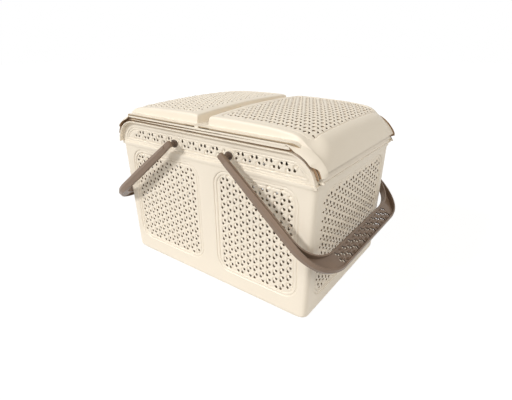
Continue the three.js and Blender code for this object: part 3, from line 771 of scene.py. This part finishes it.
LID_LIFT = 2.7
LID_SINK = 4.0
LID_SINKS_X = (172.0, 192.0)
LID_RISES_X = (195.0, 221.5)
LID_TOP = 304.5
LID_CROWN = 4.3
LID_CROWN_SHARE = 0.3
LID_SKIN = 1.5
LID_LEDGE_STEPS = 3.0
LID_CORNER_DEEPER = 2.2
LID_HALF_DEPTH = 147.0
LID_HINGE_HALF_DEPTH = 145.2
LID_LIP_HALF_DEPTH = 133.0
LID_WIDENS_X = (22.0, 30.0)
LID_DRAWS_IN_X = (164.0, 199.0)
LID_DOME_HALF_DEPTH = 132.7
LID_SHOULDER = 128.5
LID_FLAT_HALF = 127.0
LID_MELT = 0.8
LID_MELT_X = (160.0, 206.0)
LID_MELT_FROM = 96.0
LID_INNER_EDGE_X = 4.6
LID_INNER_WALL_X = 11.6
LID_LIP_X = 219.0
LID_LIP_Z = 248.4
LID_STEP = 0.5
LID_LINE_AT = 0.9
NOTCH_HALF = 22.5
CHEEK = 2.6
TRUNNION = ((2.1, 16.5), (2.55, 17.0), (2.55, 24.9))
HINGE_X = 14.5
HINGE_Z = 294.0
LID_PANEL = (25.0, 191.0, 120.0, 13.0)
LID_FIELD_MARGIN = 4.0
LID_ANCHOR = (159.2, -106.2)
LID_HOLE_OFFSET = (1.2, 3.4)
LID_HOLE_RADIUS = 1.55


def crest_table():
    """The lid's edge line, which follows the crest at a varying depth, as x and z."""
    (x, z), (tx, tz) = crest_line(200)
    sink = -LID_LIFT + (LID_SINK + LID_LIFT) * smooth_step(*LID_SINKS_X, x)
    sink = sink - smooth_step(*LID_RISES_X, x)
    return x + tz * sink, z - tx * sink


EDGE_X, EDGE_Z = crest_table()


def lid_edge_height(x):
    """Height of the lid's long edges at a place along it."""
    return np.where(x <= CREST_START_X, FRAME_TOP + LID_LIFT, np.interp(x, EDGE_X, EDGE_Z))


def lid_edge_half(x):
    """Distance of the lid's long edges from the middle at a place along it."""
    wider = (LID_HALF_DEPTH - LID_HINGE_HALF_DEPTH) * smooth_step(*LID_WIDENS_X, x)
    drawn_in = (LID_HALF_DEPTH - LID_LIP_HALF_DEPTH) * smooth_step(*LID_DRAWS_IN_X, x)
    return LID_HINGE_HALF_DEPTH + wider - drawn_in


def spline(points, count):
    """A smooth curve through (x, z) points, resampled evenly along its length."""
    p = np.array(points, float)
    p = np.concatenate([[2 * p[0] - p[1]], p, [2 * p[-1] - p[-2]]])
    before, start, end, after = p[:-3, None], p[1:-2, None], p[2:-1, None], p[3:, None]
    t = np.linspace(0, 1, 12, endpoint=False)[:, None]
    curve = 2 * before - 5 * start + 4 * end - after
    twist = 3 * start - before - 3 * end + after
    fine = 0.5 * (2 * start + (end - before) * t + curve * t * t + twist * t ** 3)
    fine = np.concatenate([fine.reshape(-1, 2), p[-2:-1]])
    along = np.concatenate([[0], np.cumsum(np.hypot(*np.diff(fine, axis=0).T))])
    even = np.linspace(0, along[-1], count)
    return np.interp(even, along, fine[:, 0]), np.interp(even, along, fine[:, 1]), even


# The ridge past the inner wall: distance from the lip and drop below the top, in mm.
LID_SLOPE = (
    (200, 0.6), (196, 0.1), (189, 0), (159, 0), (124, 0.7), (94, 1.8), (69, 4), (55, 6.1), (44.5, 8.2),
    (35, 10.8), (25, 15.2), (19, 19.4), (13, 26), (8, 34.5), (4, 43.5), (1.2, 51.5), (0.4, 54.3),
)


def lid_ridge():
    """The ridge line: inner ledge, inner wall, rounded edge, long slope to the lip."""
    flat = FRAME_TOP + LID_LIFT
    wall_x = LID_INNER_WALL_X
    ledge = [(LID_INNER_EDGE_X, flat), (wall_x - 2.0, flat), (wall_x - 0.6, flat + 0.2)]
    wall = [(wall_x, flat + 1.4), (wall_x + 0.4, flat + 8), (wall_x + 0.7, LID_TOP - 4.2)]
    corner = [(wall_x + 1.6, LID_TOP - 2.0), (wall_x + 3.6, LID_TOP - 1.0)]
    slope = [(LID_LIP_X - away, LID_TOP - drop) for away, drop in LID_SLOPE]
    lip = [(LID_LIP_X, LID_LIP_Z)]
    return spline(ledge + wall + corner + slope + lip, 400)


RIDGE_X, RIDGE_Z, RIDGE_U = lid_ridge()
RIDGE_SHIFT = float(np.interp(40.0, RIDGE_X, RIDGE_U)) - 40.0


def ridge_u(x):
    """How far along the ridge the lid's surface is at x."""
    return float(np.interp(x, RIDGE_X, RIDGE_U)) - RIDGE_SHIFT



# The lid's section: distance past the flat and share of the wall's height, and for the crown
# the share of the way to the shoulder and the share of the drop
LID_SECTION = (
    (0.0, 1.0), (1.4, 0.965), (2.6, 0.88), (3.4, 0.72), (4.1, 0.45), (4.8, 0.2), (5.3, 0.06),
    (6.1, 0.0),
)
CROWN_AT = ((0, 0), (0.39, 0.15), (0.7, 0.5), (0.87, 0.78), (0.988, 1.0))


def lid_surface(u, v):
    """The lid's outer surface. u runs along the ridge from the hinge, v across it."""
    x = np.interp(u + RIDGE_SHIFT, RIDGE_U, RIDGE_X)
    ridge = np.interp(u + RIDGE_SHIFT, RIDGE_U, RIDGE_Z)
    edge = np.minimum(lid_edge_height(x), ridge)
    half = lid_edge_half(x)
    crown = np.minimum(LID_CROWN, (ridge - edge) * LID_CROWN_SHARE)
    across = np.abs(v)
    at, drop = zip(*CROWN_AT)
    # Towards the lip the wall melts into one broad round.
    melt = LID_MELT * smooth_step(*LID_MELT_X, x) * np.maximum(ridge - crown - edge, 0)
    rounded = smooth_step(LID_MELT_FROM, LID_FLAT_HALF + 4.0, across)
    top_z = ridge - crown * np.interp(across / LID_SHOULDER, at, drop) - melt * rounded
    shoulder = ridge - crown - melt * smooth_step(LID_MELT_FROM, LID_FLAT_HALF + 4.0, LID_FLAT_HALF)
    base = np.minimum(LID_DOME_HALF_DEPTH, half - 0.4)
    k = across - LID_FLAT_HALF
    step = np.arange(len(LID_SECTION))
    out, share = zip(*LID_SECTION)
    wall_y = LID_FLAT_HALF + np.interp(k, step, out) * (base + 0.4 - LID_FLAT_HALF) / out[-1]
    wall_z = edge + (shoulder - edge) * np.interp(k, step, share)
    ledge = np.clip((k - step[-1]) / LID_LEDGE_STEPS, 0, 1)
    wall_y = wall_y + (half - base - 0.4) * ledge
    y = np.where(k <= 0, across, wall_y) * np.where(v < 0, -1, 1)
    return np.stack([x, y, np.where(k <= 0, top_z, wall_z)], -1)


def lid_field(u, v):
    """Signed distance to the lid's panel, negative inside it."""
    u0, u1, half, radius = LID_PANEL
    return rounded_box(u, v, u0, u1, -half, half, radius)


def make_lid(name, side):
    """The lid with its notch, the cheeks beside it and the trunnions in them."""
    weave = Weave(LID_ANCHOR, lambda u, v: lid_field(u, v) + LID_FIELD_MARGIN, turned=True, hand=-1,
                  offset=LID_HOLE_OFFSET, hole=LID_HOLE_RADIUS)

    def place(u, v, lift):
        e = 4 * SLOPE_STEP
        along = lid_surface(u + e, v) - lid_surface(u - e, v)
        across = lid_surface(u, v + e) - lid_surface(u, v - e)
        normal = np.cross(along, across)
        normal /= np.maximum(np.linalg.norm(normal, axis=-1, keepdims=True), 1e-9)
        return lid_surface(u, v) + normal * np.asarray(lift)[..., None]

    notch_u = ridge_u(LID_INNER_WALL_X + 0.55)

    def holes(u, v):
        notch = np.maximum(np.abs(v) - NOTCH_HALF, u - notch_u)
        return np.minimum(weave.holes(u, v), notch)

    def height(u, v):
        distance = lid_field(u, v)
        line = LINE_GROOVE * np.exp(-((distance + LID_LINE_AT) / LID_LINE_AT) ** 2)
        step = LID_STEP * smooth_step(0.0, -STEP_WIDTH, distance)
        return -step - line + weave.relief(u, v)

    first = -RIDGE_SHIFT
    last = RIDGE_U[-1] - RIDGE_SHIFT
    columns = np.linspace(first, last, int((last - first) / CELL) + 1)
    flat = np.linspace(-LID_FLAT_HALF, LID_FLAT_HALF, int(2 * LID_FLAT_HALF / CELL) + 1)
    beyond = LID_FLAT_HALF + np.arange(0.5, len(LID_SECTION) + LID_LEDGE_STEPS - 0.4, 0.5)
    rows = np.concatenate([-beyond[::-1], flat, beyond])
    sheet = Sheet(columns, rows, holes, height, place, wall=LID_SKIN, lines=[lid_field])
    sheet.step = CELL / 2
    thick_from = ridge_u(LID_MELT_X[0])

    def under(u, v, lift):
        # The edge is deeper towards the lip, so that the slit beside it is dark.
        edge = smooth_step(LID_FLAT_HALF + 2, LID_FLAT_HALF + 5, np.abs(v))
        deep = LID_CORNER_DEEPER * smooth_step(thick_from, thick_from + 30, u) * edge
        return np.minimum(lift, 0) * SUNK_SHARE - LID_SKIN - deep

    sheet.under = under
    parts = [sheet.build()]
    for across in (-1, 1):
        y0, y1 = sorted((across * NOTCH_HALF, across * (NOTCH_HALF + CHEEK)))
        parts.append(box_part(LID_INNER_WALL_X + 1, HINGE_X + 4.5, y0, y1, HINGE_Z - 4.5, LID_TOP - 3))
        parts.append(turned_about_y(TRUNNION, HINGE_X, HINGE_Z, across))
    return mesh_object(name, *mirrored(merge(parts), side, side, 1))


# Handles, drawn flat: u out from the pivot, v along the pivot axis, h through the U

RIGHT_REST_ANGLE = 39.2
LEFT_REST_ANGLE = 38.0
ARM_OUTER_AT_PIVOT = 159.0
ARM_OUTER_AT_BEND = 163.5
ARM_THICKNESS = 7.0
GRIP_INNER = 205.95
GRIP_OUTER = 234.95
GRIP_HALF = 98.0
GRIP_RIM = 3.0
ARM_END = -8.0
ARM_RIMS_FROM = 8.0
ARM_RIDGE = 1.9
RIDGE_AT = 0.2
ARM_WEB = 1.1
ARM_WEB_SUNK = 4.6
WEB = 1.2
ARM_STRAIGHT_TO = GRIP_INNER - 38.0
RIM_HEIGHT_AT = (ARM_END, 110, ARM_STRAIGHT_TO, GRIP_INNER - 6, GRIP_OUTER + 1)
RIM_HALF_HEIGHTS = (5.2, 7.2, 7.2, 6.0, 6.0)
OUTER_BEND = (37.0, 40.0)
INNER_BEND = (25.0, 37.0)
INNER_BEND_LEAD = 8.0
ARM_MIDDLE = (ARM_OUTER_AT_PIVOT - ARM_THICKNESS / 2, ARM_OUTER_AT_BEND - ARM_THICKNESS / 2)
LATTICE_HALF = 103.0
LATTICE_MARGIN = 0.6
LATTICE_RELIEF = 1.3
WEB_SINKS_AT = (112.0, 142.0)
HANDLE_PITCH = (12.0, 11.5)
HANDLE_ANCHOR = (220.5, 0.0)
HANDLE_HOLE_RADIUS = 2.7
HANDLE_SMOOTH_ANGLE = 21.0


def bend(start, end, reach):
    """A smooth quarter turn from an arm's line, along u, into the grip's, along v."""
    t = np.linspace(0, 1, 30)[:, None]
    corners = (start, (start[0] + reach[0], start[1]), (end[0], end[1] + reach[1]), end)
    a, b, c, d = (np.array(p, float) for p in corners)
    return a * (1 - t) ** 3 + 3 * b * t * (1 - t) ** 2 + 3 * c * t * t * (1 - t) + d * t ** 3


def outer_line(inset):
    """From the arm round the outer bend, at an inset from the outline."""
    start = (ARM_STRAIGHT_TO, ARM_OUTER_AT_BEND - inset)
    return bend(start, (GRIP_OUTER - inset, GRIP_HALF), OUTER_BEND)


def inner_line(outset):
    """From the arm round the inner bend, at an outset from the opening."""
    start = (ARM_STRAIGHT_TO - INNER_BEND_LEAD, ARM_OUTER_AT_BEND - ARM_THICKNESS + outset)
    return bend(start, (GRIP_INNER + outset, GRIP_HALF), INNER_BEND)


def half_height(u):
    """Half the height of the handle's rims at a distance from the pivot."""
    return np.interp(u, RIM_HEIGHT_AT, RIM_HALF_HEIGHTS)


def bar_along(line, half_wide, half_tall, radius, ridge=0.0, rise=0.0):
    """A closed rounded bar along a flat line of (u, v) points, with a ridge on its outer face."""
    line = np.asarray(line, float)
    tangent = np.gradient(line, axis=0)
    tangent /= np.linalg.norm(tangent, axis=1, keepdims=True)
    normal = np.stack([tangent[:, 1], -tangent[:, 0]], 1)
    rings = []
    wides = np.broadcast_to(half_wide, len(line))
    talls = np.broadcast_to(half_tall, len(line))
    for point, across, tall, wide in zip(line, normal, talls, wides):
        section = rounded_outline(wide, tall, min(radius, wide * 0.9), 5)
        if ridge:
            # The outer face is at -a: two flats that meet in a line above its middle.
            section.insert(len(section) // 2, (-wide - ridge, RIDGE_AT * tall))
        rings.append([(point[0] + across[0] * a, point[1] + across[1] * a, b + rise)
                      for a, b in section])
    return loft(rings)


def handle_rims():
    """The two thin rims that run up both arms and round the grip."""
    parts = []
    for line, ridge in ((outer_line(GRIP_RIM / 2), ARM_RIDGE), (inner_line(GRIP_RIM / 2), 0.0)):
        start = (ARM_RIMS_FROM, line[0][1] - ARM_OUTER_AT_BEND + ARM_OUTER_AT_PIVOT)
        lead = np.linspace(start, line[0], 24, endpoint=False)
        straight = np.linspace(line[-1], (line[-1][0], -line[-1][1]), 40)[1:-1]
        half = np.concatenate([lead, line])
        path = np.concatenate([half, straight, (half * [1, -1])[::-1]])
        parts.append(bar_along(path, GRIP_RIM / 2, half_height(path[:, 0]), 0.9, ridge))
    return parts


def handle_arms():
    """The round solid tip of each arm, and the web between its rims."""
    parts = []
    shrink = np.array([2.2, 1.2, 0.5, 0.1])
    tip = np.concatenate([[ARM_END, ARM_END + 0.4, ARM_END + 1.2, ARM_END + 2.6],
                          np.linspace(ARM_END + 5, ARM_RIMS_FROM + 4, 4)])
    tip_talls = half_height(tip)
    tip_talls[:4] -= shrink
    tip_wides = np.full(len(tip), ARM_THICKNESS / 2)
    tip_wides[:4] -= shrink * 0.8
    web = np.linspace(ARM_RIMS_FROM, ARM_STRAIGHT_TO - 6, 12)
    for side in (-1, 1):
        for u, wide, tall, radius, rise in (
            (tip, tip_wides, tip_talls, 1.6, 0.0),
            (web, ARM_THICKNESS / 2 - 0.6, ARM_WEB, 0.5, -ARM_WEB_SUNK),
        ):
            middle = np.interp(u, (ARM_END, ARM_STRAIGHT_TO), ARM_MIDDLE)
            line = np.stack([u, side * middle], 1)
            parts.append(bar_along(line, wide, tall, radius, rise=rise))
    return parts


def grip_lattice():
    """The web between the rims: plain round the bends, pierced along the grip."""
    lines = [outer_line(GRIP_RIM / 2), inner_line(GRIP_RIM / 2)]
    tables = [np.concatenate([line, [[line[-1][0], 0.0]]])[::-1].T for line in lines]
    web_from = ARM_STRAIGHT_TO - 12

    def between_rims(u, v):
        across = np.abs(v)
        outer = np.interp(across, tables[0][1], tables[0][0], right=-FAR)
        inner = np.interp(across, tables[1][1], tables[1][0], right=web_from)
        return np.maximum(u - outer, inner - u)

    def field(u, v):
        low, high = GRIP_INNER + GRIP_RIM, GRIP_OUTER - GRIP_RIM
        outside = np.maximum(np.maximum(low - u, u - high), np.abs(v) - LATTICE_HALF)
        return outside + LATTICE_MARGIN

    weave = Weave(HANDLE_ANCHOR, field, turned=True, pitch=HANDLE_PITCH, hole=HANDLE_HOLE_RADIUS)

    def holes(u, v):
        return np.minimum(weave.holes(u, v), -between_rims(u, v))

    def sunk(v):
        return smooth_step(*WEB_SINKS_AT, np.abs(v))

    def height(u, v):
        return WEB + LATTICE_RELIEF * weave.relief(u, v) - ARM_WEB_SUNK * sunk(v)

    def under(u, v, lift):
        return -WEB - (ARM_WEB_SUNK - 0.2) * sunk(v) + 0 * lift

    def place(u, v, lift):
        return np.stack([u, v, lift], -1)

    columns = np.arange(web_from, GRIP_OUTER, 1.0)
    rows = np.arange(-160.0, 160.5, 1.0)
    sheet = Sheet(columns, rows, holes, height, place)
    sheet.under = under
    return [sheet.build()]


def handle_studs():
    """The snap studs on both arms: a washer outside the boss and a head inside the tub."""
    face = BELT_HALF_DEPTH + BOSS_PROUD
    inside = BELT_HALF_DEPTH - WALL - 0.35
    profile = [(5.0, inside - 2.4), (5.8, inside - 1.8), (5.8, inside), (4.2, inside), (4.2, face + 0.6),
               (6.4, face + 0.7), (6.8, face + 1.2), (6.8, face + 2.8), (6.3, face + 3.3),
               (4.6, face + 3.6), (4.4, ARM_OUTER_AT_PIVOT - ARM_THICKNESS + 0.6)]
    studs = [turned_about_y(profile, 0.0, 0.0, side) for side in (-1, 1)]
    # The studs are all painted shade, a dark brown for the shade round them.
    return [(points, faces, [PAINTED_SHADE] * len(faces)) for points, faces in studs]


def make_handle(name, side, rest_angle):
    """A whole handle, swung down to the angle that the photo shows."""
    points, faces, zones = merge(handle_rims() + handle_arms() + grip_lattice() + handle_studs())
    drop = math.radians(rest_angle)
    u, v, h = points.T
    x = side * (PIVOT_X + u * math.cos(drop) + h * math.sin(drop))
    y = side * v
    z = PIVOT_Z - u * math.sin(drop) + h * math.cos(drop)
    return mesh_object(name, np.stack([x, y, z], 1), faces, zones, HANDLE_SMOOTH_ANGLE)


# Materials

# Scales are in waves a metre, and distances in metres.
TINT_SCALE = 11.0
GLOSS_SCALE = 60.0
GRAIN_HEIGHT = 0.00012
WAVE_SCALE = 22.0
WAVE_HEIGHT = 0.0012
WAVE_STRENGTH = 0.04


def empty_tree(block):
    """The node tree of a material or a world, with nothing in it."""
    block.use_nodes = True
    block.node_tree.nodes.clear()
    return block.node_tree


def add_node(tree, kind, **values):
    """A new shader node with values for its inputs. An underscore stands for a space."""
    node = tree.nodes.new("ShaderNode" + kind)
    for name, value in values.items():
        node.inputs[name.replace("_", " ")].default_value = value
    return node


def node_material(name, colour, roughness, grain_scale, grain_strength, mottled, shine=0.45):
    """Moulded plastic: faint mottling, uneven gloss, fine surface grain and slow waviness."""
    material = bpy.data.materials.new(name)
    tree = empty_tree(material)
    link = tree.links.new
    out = add_node(tree, "OutputMaterial")
    shader = add_node(tree, "BsdfPrincipled", Specular_IOR_Level=shine)
    link(shader.outputs["BSDF"], out.inputs["Surface"])
    where = add_node(tree, "TexCoord")

    def noise(scale, detail):
        node = add_node(tree, "TexNoise", Scale=scale, Detail=detail)
        link(where.outputs["Object"], node.inputs["Vector"])
        return node.outputs["Fac"]

    tint = add_node(tree, "Mix")
    tint.data_type = "RGBA"
    tint.inputs["A"].default_value = (*[c * (1 - mottled) for c in colour], 1)
    tint.inputs["B"].default_value = (*[min(1, c * (1 + mottled)) for c in colour], 1)
    link(noise(TINT_SCALE, 4.0), tint.inputs["Factor"])
    link(tint.outputs["Result"], shader.inputs["Base Color"])

    gloss = add_node(tree, "MapRange", To_Min=roughness - 0.06, To_Max=roughness + 0.08)
    link(noise(GLOSS_SCALE, 3.0), gloss.inputs["Value"])
    link(gloss.outputs["Result"], shader.inputs["Roughness"])

    fine = add_node(tree, "Bump", Distance=GRAIN_HEIGHT, Strength=grain_strength)
    link(noise(grain_scale, 3.0), fine.inputs["Height"])
    wavy = add_node(tree, "Bump", Distance=WAVE_HEIGHT, Strength=WAVE_STRENGTH)
    link(noise(WAVE_SCALE, 1.0), wavy.inputs["Height"])
    link(wavy.outputs["Normal"], fine.inputs["Normal"])
    link(fine.outputs["Normal"], shader.inputs["Normal"])
    return material


def dress(obj, *materials):
    """Puts the materials in the object's slots, which its faces' zones number."""
    slots = obj.data.materials
    for k, material in enumerate(materials):
        if k < len(slots):
            slots[k] = material
        else:
            slots.append(material)


# The numbers are roughness, grain scale and strength, and mottling. The inside and the
# holes' sides are painted shade: darker colours, since little light gets out of them.
# The frame's channel and the handles' holes and studs are painted shade as well.
cream = node_material("cream_moulding", (0.86, 0.775, 0.645), 0.42, 900.0, 0.25, 0.02)
cream_inside_painted_shade = node_material("cream_inside_painted_shade", (0.48, 0.37, 0.24), 0.7, 900.0, 0.25, 0.03, shine=0.1)
cream_painted_shade = node_material("cream_painted_shade", (0.30, 0.21, 0.13), 0.8, 900.0, 0.2, 0.05, shine=0.0)
cream_channel_painted_shade = node_material("cream_channel_painted_shade", (0.34, 0.22, 0.13), 0.6, 900.0, 0.2, 0.05, shine=0.1)
brown = node_material("brown_moulding", (0.225, 0.155, 0.108), 0.38, 700.0, 0.3, 0.05)
brown_painted_shade = node_material("brown_painted_shade", (0.10, 0.065, 0.045), 0.45, 700.0, 0.3, 0.05)
CREAM_ZONES = (cream, cream_inside_painted_shade, cream_painted_shade)
BROWN_ZONES = (brown, brown, brown_painted_shade)

tub = make_tub()
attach(tub, "basket")
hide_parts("tub")
dress(tub, *CREAM_ZONES)

rim = make_rim_frame()
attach(rim, "basket")
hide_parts("rim_frame")
dress(rim, cream, cream_inside_painted_shade, cream_channel_painted_shade)

for name, body, side in (("lid_right", "right_lid", 1), ("lid_left", "left_lid", -1)):
    lid = make_lid(name + "_moulding", side)
    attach(lid, body)
    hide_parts(name)
    dress(lid, *CREAM_ZONES)

for name, body, side, angle in (
    ("handle_right", "right_handle", 1, RIGHT_REST_ANGLE),
    ("handle_left", "left_handle", -1, LEFT_REST_ANGLE),
):
    handle = make_handle(name + "_moulding", side, angle)
    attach(handle, body)
    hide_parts(name)
    dress(handle, *BROWN_ZONES)


# Stage, lights and camera

FLOOR_HALF = 6.0
FLOOR_COLOUR = (0.8, 0.8, 0.8, 1)
FLOOR_SEEN_COLOUR = (0.2, 0.2, 0.2, 1)
FLOOR_SEEN_GLOW = 0.9
AMBIENT = 0.25
ROOM_COLOUR = (1.0, 0.94, 0.84, 1)
CAMERA_PLACE = (0.4264, -0.5545, 0.4184)
CAMERA_AZIMUTH = 35.85
CAMERA_ELEVATION = 21.29
CAMERA_ROLL = -0.23
FOCAL_PIXELS = 380.6
IMAGE_WIDTH = 512.0
IMAGE_HEIGHT = 400.0
PRINCIPAL_POINT = (265.2, 182.0)


def show(tree, output, usual, direct):
    """Puts out the direct shader to the camera, also by a mirror or through glass, else the usual."""
    link = tree.links.new
    path = add_node(tree, "LightPath")
    total = path.outputs["Is Camera Ray"]
    for name in ("Is Glossy Ray", "Is Transmission Ray"):
        larger = add_node(tree, "Math")
        larger.operation = "MAXIMUM"
        link(total, larger.inputs[0])
        link(path.outputs[name], larger.inputs[1])
        total = larger.outputs["Value"]
    mix = add_node(tree, "MixShader")
    link(total, mix.inputs["Fac"])
    link(usual, mix.inputs[1])
    link(direct, mix.inputs[2])
    link(mix.outputs["Shader"], add_node(tree, output).inputs["Surface"])


def make_floor():
    """A plain floor. Seen directly it is white, with the object's shadow faint on it."""
    half = FLOOR_HALF
    corners = [(-half, -half, 0), (half, -half, 0), (half, half, 0), (-half, half, 0)]
    mesh = bpy.data.meshes.new("floor")
    mesh.from_pydata(corners, [], [[0, 1, 2, 3]])
    floor = link_object("floor", mesh)
    material = bpy.data.materials.new("floor_paint")
    tree = empty_tree(material)
    paint = add_node(tree, "BsdfDiffuse", Color=FLOOR_COLOUR)
    faint = add_node(tree, "BsdfDiffuse", Color=FLOOR_SEEN_COLOUR)
    white = add_node(tree, "Emission", Strength=FLOOR_SEEN_GLOW)
    seen = add_node(tree, "AddShader")
    tree.links.new(faint.outputs["BSDF"], seen.inputs[0])
    tree.links.new(white.outputs["Emission"], seen.inputs[1])
    show(tree, "OutputMaterial", paint.outputs["BSDF"], seen.outputs["Shader"])
    dress(floor, material)


def make_world():
    """Even room light on the object, and white where the world is seen directly."""
    world = bpy.data.worlds.new("studio")
    bpy.context.scene.world = world
    tree = empty_tree(world)
    room = add_node(tree, "Background", Color=ROOM_COLOUR, Strength=AMBIENT)
    white = add_node(tree, "Background", Color=(1, 1, 1, 1), Strength=1.0)
    show(tree, "OutputWorld", room.outputs["Background"], white.outputs["Background"])


def sun(name, towards, strength, softness, colour):
    """A distant soft lamp that shines from the direction given. Softness is in degrees."""
    data = bpy.data.lights.new(name, "SUN")
    data.energy = strength * math.pi
    data.color = colour
    data.angle = math.radians(softness)
    light = link_object(name, data)
    light.rotation_euler = Vector(towards).to_track_quat("Z", "Y").to_euler()


def make_camera():
    """The camera that the photo's perspective gives."""
    turn = (Matrix.Rotation(math.radians(CAMERA_AZIMUTH), 4, "Z")
            @ Matrix.Rotation(math.radians(90 - CAMERA_ELEVATION), 4, "X")
            @ Matrix.Rotation(math.radians(CAMERA_ROLL), 4, "Z"))
    data = bpy.data.cameras.new("camera")
    data.sensor_fit = "HORIZONTAL"
    data.sensor_width = 36.0
    data.lens = FOCAL_PIXELS / IMAGE_WIDTH * data.sensor_width
    data.shift_x = (IMAGE_WIDTH / 2 - PRINCIPAL_POINT[0]) / IMAGE_WIDTH
    data.shift_y = (PRINCIPAL_POINT[1] - IMAGE_HEIGHT / 2) / IMAGE_WIDTH
    camera = link_object("camera", data)
    camera.matrix_world = Matrix.Translation(CAMERA_PLACE) @ turn
    bpy.context.scene.camera = camera


make_floor()
make_world()
sun("key", towards=(-0.62, -1.0, 0.75), strength=0.70, softness=12, colour=(0.97, 0.98, 1.0))
sun("top", towards=(0.8, -0.3, 0.9), strength=0.36, softness=30, colour=(1.0, 0.98, 0.95))
make_camera()
bpy.context.scene.view_settings.view_transform = "Standard"

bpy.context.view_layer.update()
